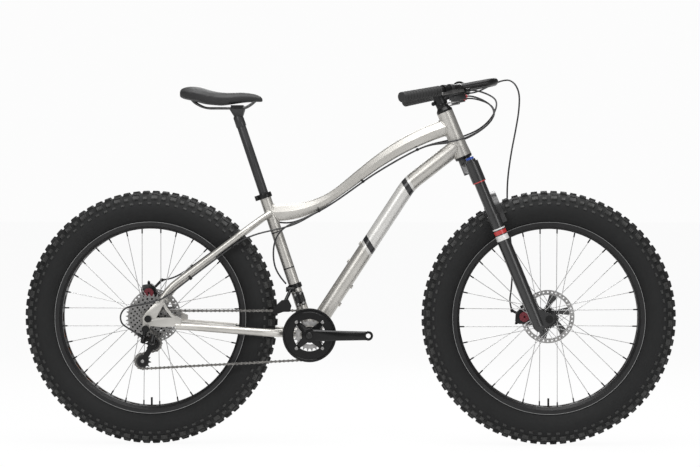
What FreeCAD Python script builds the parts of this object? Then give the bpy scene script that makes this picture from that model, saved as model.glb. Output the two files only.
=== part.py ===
"""A fat tire mountain bike with a suspension fork, a swept loop handlebar and cable disc brakes.

Frame: +X is forward, +Y is the rider's left and +Z is up. The origin lies on the ground,
midway between the two wheels. The chain runs on the right, at minus Y. Lengths are in millimetres.
"""
import FreeCAD, Part
import math
import os
import Sketcher
from FreeCAD import Placement, Rotation, Vector

doc = FreeCAD.newDocument("fat_tire_bike")
sheet = doc.addObject("Spreadsheet::Sheet", "sizes")

SIZES = {
    # Layout of the whole bike
    "wheel_base": 1186, "tire_radius": 378, "head_angle": 67.5, "fork_offset": 51,
    "bracket_back": 116, "bracket_height": 329, "seat_angle": 71.5,
    # Clearances and cuts
    "slip_fit": 0.05, "face_gap": 0.3, "cut_over": 2,
    # Tires and tubes
    "casing_width": 112, "casing_wall": 3, "crown_radius_drop": 10, "knob_height": 6,
    "knob_length": 21, "knob_width": 17, "bead_fit": 0.3, "tube_wall": 1.5, "tube_gap": 0.3,
    "valve_radius": 3, "valve_length": 46,
    # Rims
    "rim_width": 82, "rim_edge_radius": 286, "rim_wall": 2.8, "rim_flange": 10, "rim_well_depth": 8,
    "rim_well_half": 27, "window_length": 30, "window_width": 26,
    # Spokes
    "spoke_radius": 1, "nipple_radius": 2.1, "nipple_length": 13, "spoke_rim_side": 20,
    "spoke_hole_fit": 0.15,
    # Hubs
    "flange_radius": 29, "flange_pitch": 25.5, "flange_thick": 3.2, "hub_shell": 13.5,
    "front_hub_half": 75, "front_flange_left": 27, "front_flange_right": 33, "front_axle_radius": 7.5,
    "rear_hub_half": 98.5, "rear_flange_left": 36, "rear_flange_right": 30, "rear_axle_radius": 6,
    "end_cap_radius": 10.5, "rotor_boss": 22, "rotor_spigot": 17, "rotor_inset": 15.5,
    "hub_axle_radius": 8.6, "freehub_start": 46,
    # Brake rotors
    "rotor_radius": 80, "rotor_track": 13, "rotor_thick": 2, "rotor_hub_ring": 27, "rotor_arm": 7,
    "rotor_hole": 2.6,
    # Chain and toothed wheels
    "pitch": 12.7, "roller_radius": 3.85, "seat_clear": 0.12, "tooth_height": 3.1, "tooth_tip": 1.9,
    "ring_thick": 1.6, "cog_thick": 1.6, "cog_step": 3.95, "cassette_outer": 87, "ring_outer": 73,
    "ring_step": 7.5, "inner_width": 2.3, "plate_thick": 0.72, "plate_gap": 0.12, "plate_radius": 4.1,
    "plate_waist": 2.7, "pin_radius": 1.75, "pin_clear": 0.12, "pin_proud": 0.12,
    "freehub_radius": 17, "cog_bore": 17.05, "lockring_radius": 17.8, "lockring_thick": 4,
    # Cranks
    "crank_length": 175, "arm_thick": 15, "arm_root": 20, "arm_tip": 14, "crank_inner": 86,
    "arm_flare": 10, "spindle_radius": 12, "pedal_hole": 7, "spider_pitch": 52, "spider_arm": 12,
    "small_ring_hole": 28, "post_pitch": 32, "bash_radius": 80, "bash_inner": 44, "bash_thick": 3.5, "ring_bolt": 4.2,
    # Bottom bracket
    "bracket_radius": 24.5, "bracket_half": 50, "bracket_wall": 4, "cup_radius": 24, "cup_width": 11,
    # Head tube and headset
    "head_low": 542, "head_high": 684, "head_radius": 24, "head_flare": 2, "head_wall": 3.5,
    "headset_low": 8, "headset_high": 6, "headset_cover": 8, "steerer_radius": 14.3, "race_radius": 19,
    # Seat tube, collar, post
    "seat_tube_radius": 17, "seat_tube_length": 439, "post_radius": 13.6, "post_wall": 2.2,
    "post_inset": 130, "post_top": 690, "collar_thick": 4.5, "collar_height": 15, "collar_slot": 2.4,
    # Main tubes and stays
    "top_tube_height": 50, "top_tube_width": 44, "top_tube_wall": 2, "top_tube_low": 690,
    "top_tube_rise": 260, "down_tube_radius": 24, "down_tube_wall": 1.8, "down_tube_bend_x": 178,
    "down_tube_bend_z": 777, "down_tube_end_x": 318, "down_tube_end_z": 886, "down_tube_bend_radius": 150,
    "chainstay_root": 12.5, "chainstay_end": 10, "seatstay_radius": 9.5, "stay_wall": 1.6,
    "boss_radius": 6, "boss_height": 4, "boss_hole": 2.5, "boss_gap": 64, "boss_sink": 3,
    # Dropouts
    "dropout_thick": 9, "dropout_boss": 16, "hanger_drop": 30, "hanger_back": 6, "hanger_radius": 11,
    # Fork
    "leg_side": 84, "leg_ahead": 15, "stanchion_radius": 16, "stanchion_wall": 2.5, "stanchion_low": 150,
    "socket_radius": 20, "socket_low": 452, "socket_high": 517, "crown_low": 486, "steerer_high": 757,
    "leg_radius": 19, "leg_low": -22, "leg_high": 340, "wiper_height": 8, "wiper_proud": 1.5,
    "leg_bore_low": 45, "fork_boss": 15, "arch_depth": 16, "arch_thick": 12, "arch_high": 408,
    "arch_side": 78, "arch_ahead": 39, "cap_radius": 12, "cap_height": 7, "knob_low_radius": 7,
    # Stem and handlebar
    "stem_length": 66, "stem_middle": 732, "stem_height": 42, "stem_radius": 19, "bar_clamp_radius": 21.5,
    "bar_clamp_width": 48, "stem_neck": 34, "pinch_ear": 11, "pinch_width": 26, "pinch_radius": 6,
    "bar_radius": 11.1, "bar_bulge": 15.9, "bulge_half": 32, "bulge_end": 74, "bar_pitch": 11,
    "bar_half": 330, "bar_corner": 163, "bar_back": 167, "bar_bend": 55, "loop_ahead": 106,
    "loop_half": 78, "loop_root": 116, "loop_bend": 42, "bar_fit": 0.06,
    # Grips and controls
    "grip_length": 150, "grip_radius": 15, "grip_rib": 1, "grip_cap": 3, "perch_from_end": 172,
    "perch_width": 13, "perch_radius": 15.5, "pod_from_end": 198, "pod_width": 11,
    "lever_back": 40, "lever_ahead": 32, "lever_drop": 12, "blade_length": 98, "thumb_length": 34,
    "pod_long": 46, "pod_deep": 36, "pod_thick": 16, "pod_gap": 10.5, "blade_thick": 8, "lever_pin": 3, "lever_hub": 6.5, "barrel_radius": 5, "barrel_length": 18,
    # Saddle
    "saddle_length": 246, "saddle_width": 146, "saddle_nose": 42, "saddle_rear_x": -505,
    "saddle_top": 1058, "saddle_crown": 14, "saddle_skirt": 40, "rail_radius": 3.5, "rail_half": 22,
    "rail_low": 56, "clamp_width": 40, "clamp_half_width": 29, "clamp_height": 9,
    # Brakes
    "caliper_thick": 15, "caliper_slot": 5, "knob_radius": 15, "knob_thick": 7, "brake_arm_thick": 4,
    "brake_arm_reach": 33, "stop_reach": 40,
    # Derailleurs
    "guide_x": -578, "guide_z": 304, "cage_reach": 62, "pulley_thick": 1.6, "pulley_hub": 4,
    "cage_plate": 2, "cage_gap": 5.2, "link_reach": 45, "link_thick": 4, "link_swing": 29.5,
    "fd_clamp_along": 150, "fd_band": 4, "fd_height": 14, "fd_inner": 65, "fd_outer": 82,
    # Cables
    "cable_radius": 2.5,
}

for row, (name, value) in enumerate(SIZES.items(), start=1):
    sheet.set("A%d" % row, name)
    sheet.set("B%d" % row, str(value))
    sheet.setAlias("B%d" % row, name)
doc.recompute()


class Size:
    """A number from the sheet that also knows the expression it came from."""

    def __init__(self, value, text):
        self.value = value
        self.text = text

    def __float__(self):
        return self.value

    def __add__(self, other):
        return Size(self.value + float(other), "(%s + %s)" % (self.text, words(other)))

    def __radd__(self, other):
        return Size(float(other) + self.value, "(%s + %s)" % (words(other), self.text))

    def __sub__(self, other):
        return Size(self.value - float(other), "(%s - %s)" % (self.text, words(other)))

    def __rsub__(self, other):
        return Size(float(other) - self.value, "(%s - %s)" % (words(other), self.text))

    def __mul__(self, other):
        return Size(self.value * float(other), "(%s * %s)" % (self.text, words(other)))

    __rmul__ = __mul__

    def __truediv__(self, other):
        return Size(self.value / float(other), "(%s / %s)" % (self.text, words(other)))

    def __neg__(self):
        return Size(-self.value, "(0 - %s)" % self.text)


def words(number):
    """The expression text of a Size or of a plain number."""
    return number.text if isinstance(number, Size) else repr(float(number))


class Sheet:
    """The named sizes as attributes."""


d = Sheet()
for name in SIZES:
    setattr(d, name, Size(float(sheet.get(name)), "sizes." + name))

X_AXIS = Vector(1, 0, 0)
Y_AXIS = Vector(0, 1, 0)
Z_AXIS = Vector(0, 0, 1)
nodes = []


def bind(thing, field, size):
    """Tie one property to the sheet."""
    if isinstance(size, Size):
        thing.setExpression(field, size.text)
    else:
        thing.setExpression(field, repr(float(size)))


def keep(thing, label):
    """Give a finished sub-part the label that names its file."""
    thing.Label = label
    nodes.append(thing)
    return thing


def origin_of(body, role):
    return next(item for item in body.Origin.OriginFeatures if item.Role == role)


def sketch_on(body, role, name):
    sketch = body.newObject("Sketcher::SketchObject", name)
    sketch.AttachmentSupport = [(origin_of(body, role), "")]
    sketch.MapMode = "FlatFace"
    return sketch


def fix_point(sketch, item, corner, x, y):
    """Hold one sketch point at two sizes measured from the origin."""
    for kind, size in (("DistanceX", x), ("DistanceY", y)):
        row = sketch.addConstraint(Sketcher.Constraint(kind, -1, 1, item, corner, float(size)))
        bind(sketch, "Constraints[%d]" % row, size)


def draw_outline(sketch, points):
    """A closed outline of straight lines through points given in sheet sizes."""
    first = sketch.GeometryCount
    count = len(points)
    corners = [Vector(float(x), float(y), 0) for x, y in points]
    for index in range(count):
        sketch.addGeometry(Part.LineSegment(corners[index], corners[(index + 1) % count]))
    for index in range(count):
        after = first + (index + 1) % count
        sketch.addConstraint(Sketcher.Constraint("Coincident", first + index, 2, after, 1))
    for index, (x, y) in enumerate(points):
        fix_point(sketch, first + index, 1, x, y)


def draw_circle(sketch, x, y, radius):
    item = sketch.addGeometry(Part.Circle(Vector(float(x), float(y), 0), Z_AXIS, float(radius)))
    fix_point(sketch, item, 3, x, y)
    row = sketch.addConstraint(Sketcher.Constraint("Radius", item, float(radius)))
    bind(sketch, "Constraints[%d]" % row, radius)


def new_body(name):
    return doc.addObject("PartDesign::Body", name)


def add_pad(body, name, length, outlines=(), circles=(), both_ways=False):
    """Pad a sketch of outlines and circles upward from the body's XY plane."""
    sketch = sketch_on(body, "XY_Plane", name + "_sketch")
    for points in outlines:
        draw_outline(sketch, points)
    for x, y, radius in circles:
        draw_circle(sketch, x, y, radius)
    pad = body.newObject("PartDesign::Pad", name)
    pad.Profile = sketch
    bind(pad, "Length", length)
    pad.Midplane = both_ways
    return pad


def add_pocket(body, name, outlines=(), circles=(), plane="XY_Plane"):
    """Cut a sketch of outlines and circles right through the body, both ways."""
    sketch = sketch_on(body, plane, name + "_sketch")
    for points in outlines:
        draw_outline(sketch, points)
    for x, y, radius in circles:
        draw_circle(sketch, x, y, radius)
    pocket = body.newObject("PartDesign::Pocket", name)
    pocket.Profile = sketch
    pocket.Type = "ThroughAll"
    pocket.Midplane = True
    return pocket


def add_ring_of(body, feature, count, name):
    """Repeat a feature evenly round the body's Z axis."""
    pattern = body.newObject("PartDesign::PolarPattern", name)
    pattern.Originals = [feature]
    pattern.Axis = (origin_of(body, "Z_Axis"), [""])
    pattern.Angle = 360
    pattern.Occurrences = count
    body.Tip = pattern
    return pattern


def turned(name, outline, place=Placement()):
    """A body turned about its Z axis from a closed outline of radius and height pairs."""
    body = new_body(name)
    sketch = sketch_on(body, "XZ_Plane", name + "_section")
    draw_outline(sketch, outline)
    turn = body.newObject("PartDesign::Revolution", name + "_turn")
    turn.Profile = sketch
    turn.ReferenceAxis = (sketch, ["V_Axis"])
    turn.Angle = 360
    body.Placement = place
    return body


def cylinder(name, radius, height, place=Placement()):
    thing = doc.addObject("Part::Cylinder", name)
    bind(thing, "Radius", radius)
    bind(thing, "Height", height)
    thing.Placement = place
    return thing


def block(name, length, width, height, place=Placement()):
    thing = doc.addObject("Part::Box", name)
    bind(thing, "Length", length)
    bind(thing, "Width", width)
    bind(thing, "Height", height)
    thing.Placement = place
    return thing


def fuse(name, things):
    joined = doc.addObject("Part::MultiFuse", name)
    joined.Shapes = things
    joined.Refine = True
    return joined


def cut(name, base, tool):
    result = doc.addObject("Part::Cut", name)
    result.Base = base
    result.Tool = tool
    return result


def group(name, things):
    """Several separate solids kept as one sub-part."""
    result = doc.addObject("Part::Compound", name)
    result.Links = things
    return result


def mirrored(name, thing):
    """The same piece on the other side of the bike's middle plane."""
    result = doc.addObject("Part::Mirroring", name)
    result.Source = thing
    result.Base = Vector(0, 0, 0)
    result.Normal = Y_AXIS
    return result


def shaped(name, shape, place=Placement()):
    thing = doc.addObject("Part::Feature", name)
    thing.Shape = shape
    thing.Placement = place
    return thing


def spot(x, y, z):
    return Placement(Vector(float(x), float(y), float(z)), Rotation())


def along(x, y, z, direction):
    """A placement whose Z axis points along a direction."""
    return Placement(Vector(float(x), float(y), float(z)), Rotation(Z_AXIS, direction))


def rod(start, end, radius):
    """A round bar between two points."""
    return Part.makeCylinder(float(radius), (end - start).Length, start, end - start)


def route(points, radius=None):
    """Straight runs joined by tangent arcs, as wide as the runs allow or of one radius."""
    edges = []
    last = points[0]
    for before, corner, after in zip(points, points[1:], points[2:]):
        back = (before - corner).normalize()
        ahead = (after - corner).normalize()
        half_turn = (math.pi - back.getAngle(ahead)) / 2
        reach = 0.45 * min((before - corner).Length, (after - corner).Length)
        if radius is not None:
            reach = float(radius) * math.tan(half_turn)
        bend = reach / math.tan(half_turn)
        start = corner + back * reach
        end = corner + ahead * reach
        middle = corner + (back + ahead).normalize() * (bend / math.cos(half_turn) - bend)
        edges.append(Part.LineSegment(last, start).toShape())
        edges.append(Part.Arc(start, middle, end).toShape())
        last = end
    edges.append(Part.LineSegment(last, points[-1]).toShape())
    return Part.Wire(edges)


def pipe(wire, start_radius, end_radius=None):
    """A round bar swept along a route, tapering if it has two radii."""
    rings = []
    ends = ((wire.Edges[0], wire.Edges[0].FirstParameter), (wire.Edges[-1], wire.Edges[-1].LastParameter))
    for (edge, where), radius in zip(ends, (start_radius, end_radius)):
        if radius is not None:
            circle = Part.Circle(edge.valueAt(where), edge.tangentAt(where), float(radius))
            rings.append(Part.Wire(circle.toShape()))
    return wire.makePipeShell(rings, True, False)


def tube(wire, start_radius, wall, end_radius=None):
    """A hollow tube swept along a route."""
    inner_end = None if end_radius is None else end_radius - wall
    return pipe(wire, start_radius, end_radius).cut(pipe(wire, start_radius - wall, inner_end))


def loft(wires):
    return Part.makeLoft(wires, True, False)


def closed_wire(points):
    corners = list(points) + [points[0]]
    return Part.makePolygon(corners)


# Frames of reference: the wheels, the steering axis, the seat tube and the handlebar
rear_x = -d.wheel_base / 2
front_x = d.wheel_base / 2
ACROSS = Rotation(X_AXIS, -90)
rear_axle_spot = Placement(Vector(float(rear_x), 0, float(d.tire_radius)), ACROSS)
front_axle_spot = Placement(Vector(float(front_x), 0, float(d.tire_radius)), ACROSS)

lean = math.radians(90 - float(d.head_angle))
steer_foot = Vector(
    float(front_x) - float(d.fork_offset) * math.cos(lean),
    0,
    float(d.tire_radius) - float(d.fork_offset) * math.sin(lean),
)
steer_frame = Placement(steer_foot, Rotation(Y_AXIS, -math.degrees(lean)))
bracket = Vector(-float(d.bracket_back), 0, float(d.bracket_height))
seat_frame = Placement(bracket, Rotation(Y_AXIS, float(d.seat_angle) - 90))
bar_middle = steer_frame.multVec(Vector(float(d.stem_length), 0, float(d.stem_middle)))
bar_frame = Placement(bar_middle, Rotation(Y_AXIS, -float(d.bar_pitch)))


def steered(place):
    return steer_frame.multiply(place)


def seated(place):
    return seat_frame.multiply(place)


# The tires: a casing with knobs, made as one pitch of tread and then repeated round the wheel
TREAD_PITCHES = 40
KNOB_SIDE_SHARES = (0.13, 0.46, 0.84)
KNOB_PHASE_SHARES = (0.25, 0.75, 0.25)


def casing_profile(inset):
    """Half outline of the tire's section, as arcs from bead to crown and back, drawn in by an inset."""
    half = float(d.casing_width) / 2 - inset
    bead_y = float(d.rim_width) / 2 - float(d.rim_wall) - float(d.bead_fit) - inset
    bead_r = float(d.rim_edge_radius) - float(d.rim_flange) + float(d.bead_fit)
    base_r = float(d.tire_radius) - float(d.knob_height) - inset
    edge_r = base_r - float(d.crown_radius_drop)
    edge_y = half * 0.72
    wide_r = (bead_r + edge_r) / 2 + float(d.crown_radius_drop) / 2
    lip_r = float(d.rim_edge_radius) + 3 * float(d.bead_fit)
    return [(bead_r, bead_y), (lip_r, bead_y), (wide_r, half), (edge_r, edge_y), (base_r, 0.0)]


def tire_section():
    """The closed section of the casing in the plane of radius and width."""
    outer = casing_profile(0.0)
    inner = casing_profile(float(d.casing_wall))
    def at(point, side):
        return Vector(point[0], side * point[1], 0)
    edges = []
    for side in (1, -1):
        for skin in (outer, inner):
            edges.append(Part.LineSegment(at(skin[0], side), at(skin[1], side)).toShape())
            edges.append(Part.Arc(at(skin[1], side), at(skin[2], side), at(skin[3], side)).toShape())
        edges.append(Part.LineSegment(at(outer[0], side), at(inner[0], side)).toShape())
    for skin in (outer, inner):
        edges.append(Part.Arc(at(skin[3], 1), at(skin[4], 1), at(skin[3], -1)).toShape())
    return Part.Face(Part.Wire(Part.__sortEdges__(edges)))


def tread_height(side):
    """Radius and slope of the casing's crown at a distance from the middle."""
    profile = casing_profile(0.0)
    edge_r, edge_y = profile[3]
    base_r = profile[4][0]
    bow = (edge_y * edge_y + (base_r - edge_r) ** 2) / (2 * (base_r - edge_r))
    radius = base_r - bow + math.sqrt(bow * bow - side * side)
    return radius, math.asin(side / bow)


def one_knob(side, phase, pitch_angle):
    """A tapered block of rubber standing square on the casing."""
    radius, slope = tread_height(abs(side))
    slope = math.copysign(slope, side)
    length, width = float(d.knob_length), float(d.knob_width)
    sunk = float(d.casing_wall) / 2
    top = float(d.knob_height)
    rings = []
    for rise, share in ((-sunk, 1.0), (top, 0.84)):
        a, b = length * share / 2, width * share / 2
        corners = [Vector(rise, v, u) for u, v in ((-a, -b), (a, -b), (a, b), (-a, b))]
        rings.append(closed_wire(corners))
    knob = Part.makeLoft(rings, True, True)
    knob.rotate(Vector(0, 0, 0), Z_AXIS, math.degrees(slope))
    knob.translate(Vector(radius, side, 0))
    knob.rotate(Vector(0, 0, 0), Y_AXIS, -phase * pitch_angle)
    return knob


def tire_shape():
    """One pitch of casing and knobs, repeated and sewn into a closed ring about the Y axis."""
    pitch_angle = 360.0 / TREAD_PITCHES
    sector = tire_section().revolve(Vector(0, 0, 0), Y_AXIS, -pitch_angle)
    profile = casing_profile(0.0)
    knobs = []
    for share, phase in zip(KNOB_SIDE_SHARES, KNOB_PHASE_SHARES):
        for sign in (1, -1):
            turn = phase if sign > 0 else 1 - phase
            knobs.append(one_knob(sign * share * profile[3][1], turn, pitch_angle))
    sector = sector.fuse(knobs)
    start = Vector(0, 0, 1)
    finish = Rotation(Y_AXIS, -pitch_angle).multVec(start)
    skin = []
    for face in sector.Faces:
        middle = face.CenterOfMass
        if abs(middle.dot(start)) > 1e-3 and abs(middle.dot(finish)) > 1e-3:
            skin.append(face)
    faces = []
    for step in range(TREAD_PITCHES):
        for face in skin:
            copy = face.copy()
            copy.rotate(Vector(0, 0, 0), Y_AXIS, -step * pitch_angle)
            faces.append(copy)
    shell = Part.Compound(faces)
    shell.sewShape(1e-4)
    return Part.makeSolid(shell.Shells[0])


def tube_shape():
    """The inner tube, hollow, with its valve pointing at the hub."""
    outer = casing_profile(float(d.casing_wall) + float(d.tube_gap))
    middle_r = (outer[4][0] + float(d.rim_edge_radius)) / 2
    radius = outer[4][0] - middle_r
    ring = Part.makeTorus(middle_r, radius, Vector(0, 0, 0), Y_AXIS)
    hollow = Part.makeTorus(middle_r, radius - float(d.tube_wall), Vector(0, 0, 0), Y_AXIS)
    top = Vector(0, 0, -(middle_r - radius + float(d.tube_wall) / 2))
    valve = rod(top, top + Vector(0, 0, float(d.valve_length)), d.valve_radius)
    return ring.fuse(valve).cut(hollow)


tread = tire_shape()
inner_tube = tube_shape()
for end, place in (("rear", rear_axle_spot), ("front", front_axle_spot)):
    keep(shaped(end + "_tire_and_tube", Part.Compound([tread, inner_tube]), Placement(place.Base, Rotation())), end + "_tire")

# The rims: a dropped well between two bead shelves, pierced by a ring of windows
SPOKES = 32
spoke_step = 360.0 / SPOKES


def make_rim(end, place):
    half = d.rim_width / 2
    wall = d.rim_wall
    edge = d.rim_edge_radius
    shelf = edge - d.rim_flange
    well = shelf - d.rim_well_depth
    shoulder = d.rim_well_half + d.rim_well_depth
    upper = [(edge, half), (edge, half - wall), (shelf, half - wall), (shelf, shoulder), (well, d.rim_well_half)]
    lower = [(well - wall, d.rim_well_half + wall / 2), (shelf - wall, shoulder + wall / 2), (shelf - wall, half)]
    outline = list(upper)
    outline += [(r, -y) for r, y in reversed(upper)]
    outline += [(r, -y) for r, y in reversed(lower)]
    outline += lower
    body = turned(end + "_rim_ring", outline)
    length, width = d.window_length / 2, d.window_width / 2
    corner_share = 0.55
    window = [
        (length, -(width * corner_share)), (length, width * corner_share),
        (length * corner_share, width), (-(length * corner_share), width),
        (-length, width * corner_share), (-length, -(width * corner_share)),
        (-(length * corner_share), -width), (length * corner_share, -width),
    ]
    sketch = sketch_on(body, "YZ_Plane", end + "_window_sketch")
    draw_outline(sketch, window)
    pocket = body.newObject("PartDesign::Pocket", end + "_window")
    pocket.Profile = sketch
    pocket.Type = "Length"
    bind(pocket, "Length", edge)
    pocket.Reversed = True
    body.Tip = pocket
    add_ring_of(body, pocket, SPOKES, end + "_windows")
    body.Placement = place
    return keep(body, end + "_rim")


for end, place in (("rear", rear_axle_spot), ("front", front_axle_spot)):
    make_rim(end, place)
between_windows = Placement(Vector(0, 0, 0), Rotation(Z_AXIS, spoke_step / 2))

# The hubs and the crossed spokes
CROSSINGS = 3


def make_hub(end, place, half, left, right, bore, boss_face, drive_shell):
    thick = d.flange_thick
    flange, shell = d.flange_radius, d.hub_shell
    outline = [(bore, -half), (d.end_cap_radius, -half)]
    if drive_shell is None:
        outline += [(d.end_cap_radius, -(right + flange / 2)), (shell, -(right + thick * 2))]
    else:
        outline = [(bore, -half), (d.hub_axle_radius, -half), (d.hub_axle_radius, -drive_shell)]
        outline += [(flange * 0.7, -drive_shell)]
        outline += [(flange * 0.7, -(right + thick))]
    outline += [(flange, -(right + thick)), (flange, -right), (shell, -(right - thick))]
    outline += [(shell, left - thick), (flange, left), (flange, left + thick), (d.rotor_boss, left + thick)]
    outline += [(d.rotor_boss, boss_face), (d.rotor_spigot, boss_face)]
    outline += [(d.rotor_spigot, boss_face + d.rotor_thick), (d.end_cap_radius, boss_face + d.rotor_thick)]
    outline += [(d.end_cap_radius, half), (bore, half)]
    body = turned(end + "_hub_turning", outline)
    hole = add_pocket(body, end + "_spoke_hole", circles=[(d.flange_pitch, 0 * d.flange_pitch, d.spoke_radius + d.spoke_hole_fit)])
    body.Tip = hole
    add_ring_of(body, hole, SPOKES, end + "_spoke_holes")
    body.Placement = place.multiply(between_windows)
    return keep(body, end + "_hub")


front_boss = d.front_hub_half - d.rotor_inset - d.rotor_thick / 2
rear_boss = d.rear_hub_half - d.rotor_inset - d.rotor_thick / 2
make_hub("front", front_axle_spot, d.front_hub_half, d.front_flange_left, d.front_flange_right,
         d.front_axle_radius + d.slip_fit, front_boss, None)
make_hub("rear", rear_axle_spot, d.rear_hub_half, d.rear_flange_left, d.rear_flange_right,
         d.rear_axle_radius + d.slip_fit, rear_boss, d.freehub_start - d.face_gap)


def polar_point(radius, degrees, side):
    """A point of the wheel in its own frame, where Z runs along the axle."""
    angle = math.radians(degrees)
    return Vector(float(radius) * math.cos(angle), float(radius) * math.sin(angle), float(side))


def make_spokes(end, place, left, right):
    """Every spoke with its elbow through the flange and its nipple at the rim."""
    well = float(d.rim_edge_radius) - float(d.rim_flange) - float(d.rim_well_depth) - float(d.rim_wall)
    seat = well - float(d.face_gap)
    flange_step = 720.0 / SPOKES
    shapes = []
    for side, face in ((1, float(left)), (-1, float(right))):
        for index in range(SPOKES // 2):
            lead = 1 if index % 2 == 0 else -1
            hub_turn = index * flange_step + (0 if side > 0 else flange_step / 2)
            rim_turn = hub_turn + lead * CROSSINGS * flange_step
            off = float(d.spoke_radius) + float(d.face_gap)
            outside = face + float(d.flange_thick) + off + 2 * float(d.face_gap)
            inside = face - off
            out_side, in_side = (outside, inside) if lead > 0 else (inside, outside)
            elbow = polar_point(d.flange_pitch, hub_turn, side * out_side)
            head = polar_point(d.flange_pitch, hub_turn, side * in_side)
            tip = polar_point(seat, rim_turn, side * float(d.spoke_rim_side))
            run = (tip - elbow).normalize()
            spoke = rod(elbow, tip, d.spoke_radius)
            hook = rod(head, elbow, d.spoke_radius)
            joint = Part.makeSphere(float(d.spoke_radius), elbow)
            nipple = rod(tip - run * float(d.nipple_length), tip, d.nipple_radius)
            shapes.append(spoke.fuse([hook, joint, nipple]))
    return keep(shaped(end + "_spoke_set", Part.Compound(shapes), place.multiply(between_windows)), end + "_spokes")


make_spokes("front", front_axle_spot, d.front_flange_left, d.front_flange_right)
make_spokes("rear", rear_axle_spot, d.rear_flange_left, d.rear_flange_right)

# The brake rotors: a drilled track on slanted arms
ROTOR_ARMS = 6
ROTOR_HOLES = 36


def make_rotor(end, place, face):
    """A disc with slanted openings that leave a track, arms and a hub ring."""
    body = new_body(end + "_rotor_disc")
    centre = 0 * d.rotor_radius
    inner = d.rotor_radius - d.rotor_track
    bore = d.rotor_spigot + d.slip_fit
    add_pad(body, end + "_disc", d.rotor_thick, circles=[(centre, centre, d.rotor_radius), (centre, centre, bore)])
    root = d.rotor_hub_ring
    opening = [
        (root * 0.99, -(root * 0.32)), (root * 0.99, root * 0.30), (inner * 0.81, inner * 0.55),
        (inner * 0.91, inner * 0.38), (inner * 0.975, inner * 0.18), (inner * 0.985, -(inner * 0.07)),
    ]
    window = add_pocket(body, end + "_opening", outlines=[opening])
    add_ring_of(body, window, ROTOR_ARMS, end + "_openings")
    hole = add_pocket(body, end + "_vent", circles=[(d.rotor_radius - d.rotor_track / 2, centre, d.rotor_hole)])
    add_ring_of(body, hole, ROTOR_HOLES, end + "_vents")
    body.Placement = place.multiply(spot(0, 0, face))
    return keep(body, end + "_rotor")


make_rotor("front", front_axle_spot, front_boss)
make_rotor("rear", rear_axle_spot, rear_boss)

# The chain's path: pitch circles, tangents and rollers one pitch apart
RING_TEETH = 36
SMALL_RING_TEETH = 22
PULLEY_TEETH = 11
COG_TEETH = (11, 13, 15, 17, 19, 21, 23, 26, 30, 34)
TURN_RIGHT = 1
TURN_LEFT = -1
EASE_PITCHES = 2.5


def pitch_radius(teeth):
    return float(d.pitch) / (2 * math.sin(math.pi / teeth))


def leave_angle(first, second):
    """Direction of the tangent from one turning circle to the next."""
    (x1, z1, r1, s1, _), (x2, z2, r2, s2, _) = first, second
    gap = math.hypot(x2 - x1, z2 - z1)
    return math.atan2(z2 - z1, x2 - x1) + math.asin((s2 * r2 - s1 * r1) / gap)


def touch(circle, heading):
    """Where a line of some heading touches a turning circle."""
    x, z, radius, side, y = circle
    return Vector(x - side * radius * math.sin(heading), y, z + side * radius * math.cos(heading))


class ChainPath:
    """Arcs and straight runs in order, walked by distance."""

    def __init__(self, circles):
        self.runs = []
        count = len(circles)
        headings = [leave_angle(circles[i], circles[(i + 1) % count]) for i in range(count)]
        for i, circle in enumerate(circles):
            arrive, leave = headings[i - 1], headings[i]
            sweep = (arrive - leave) * circle[3] % (2 * math.pi)
            self.runs.append(("arc", circle, arrive, sweep, sweep * circle[2]))
            start = touch(circle, leave)
            end = touch(circles[(i + 1) % count], leave)
            self.runs.append(("line", start, end, None, (end - start).Length))
        self.length = sum(run[4] for run in self.runs)

    def at(self, distance):
        distance %= self.length
        for kind, first, second, sweep, length in self.runs:
            if distance <= length:
                if kind == "line":
                    ease = min(EASE_PITCHES * float(d.pitch), length / 4)
                    aside = min(max((distance - ease) / (length - 2 * ease), 0.0), 1.0)
                    point = first + (second - first) * (distance / length)
                    return Vector(point.x, first.y + (second.y - first.y) * aside, point.z)
                heading = second - first[3] * distance / first[2]
                return touch(first, heading)
            distance -= length
        return self.at(0)

    def next_roller(self, distance):
        """The distance of the roller one pitch further on."""
        here = self.at(distance)
        low, high = distance + 0.9 * float(d.pitch), distance + 1.2 * float(d.pitch)
        for _ in range(40):
            middle = (low + high) / 2
            if (self.at(middle) - here).Length < float(d.pitch):
                low = middle
            else:
                high = middle
        return (low + high) / 2


ring_y = -float(d.ring_outer)
cog_y = -float(d.cassette_outer)


def chain_circles(cage_turn):
    """Ring, tension pulley, guide pulley and cog for one swing of the cage."""
    pulley = pitch_radius(PULLEY_TEETH)
    guide_x, guide_z = float(d.guide_x), float(d.guide_z)
    tension_x = guide_x + float(d.cage_reach) * math.cos(cage_turn)
    tension_z = guide_z + float(d.cage_reach) * math.sin(cage_turn)
    return [
        (bracket.x, bracket.z, pitch_radius(RING_TEETH), TURN_RIGHT, ring_y),
        (tension_x, tension_z, pulley, TURN_RIGHT, cog_y),
        (guide_x, guide_z, pulley, TURN_LEFT, cog_y),
        (float(rear_x), float(d.tire_radius), pitch_radius(COG_TEETH[0]), TURN_RIGHT, cog_y),
    ]


def walk(path, count):
    """Distances of a number of rollers and of the one after them."""
    places = [0.0]
    for _ in range(count):
        places.append(path.next_roller(places[-1]))
    return places


def slack(cage_turn, count):
    path = ChainPath(chain_circles(cage_turn))
    return path.length - walk(path, count)[-1]


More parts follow.
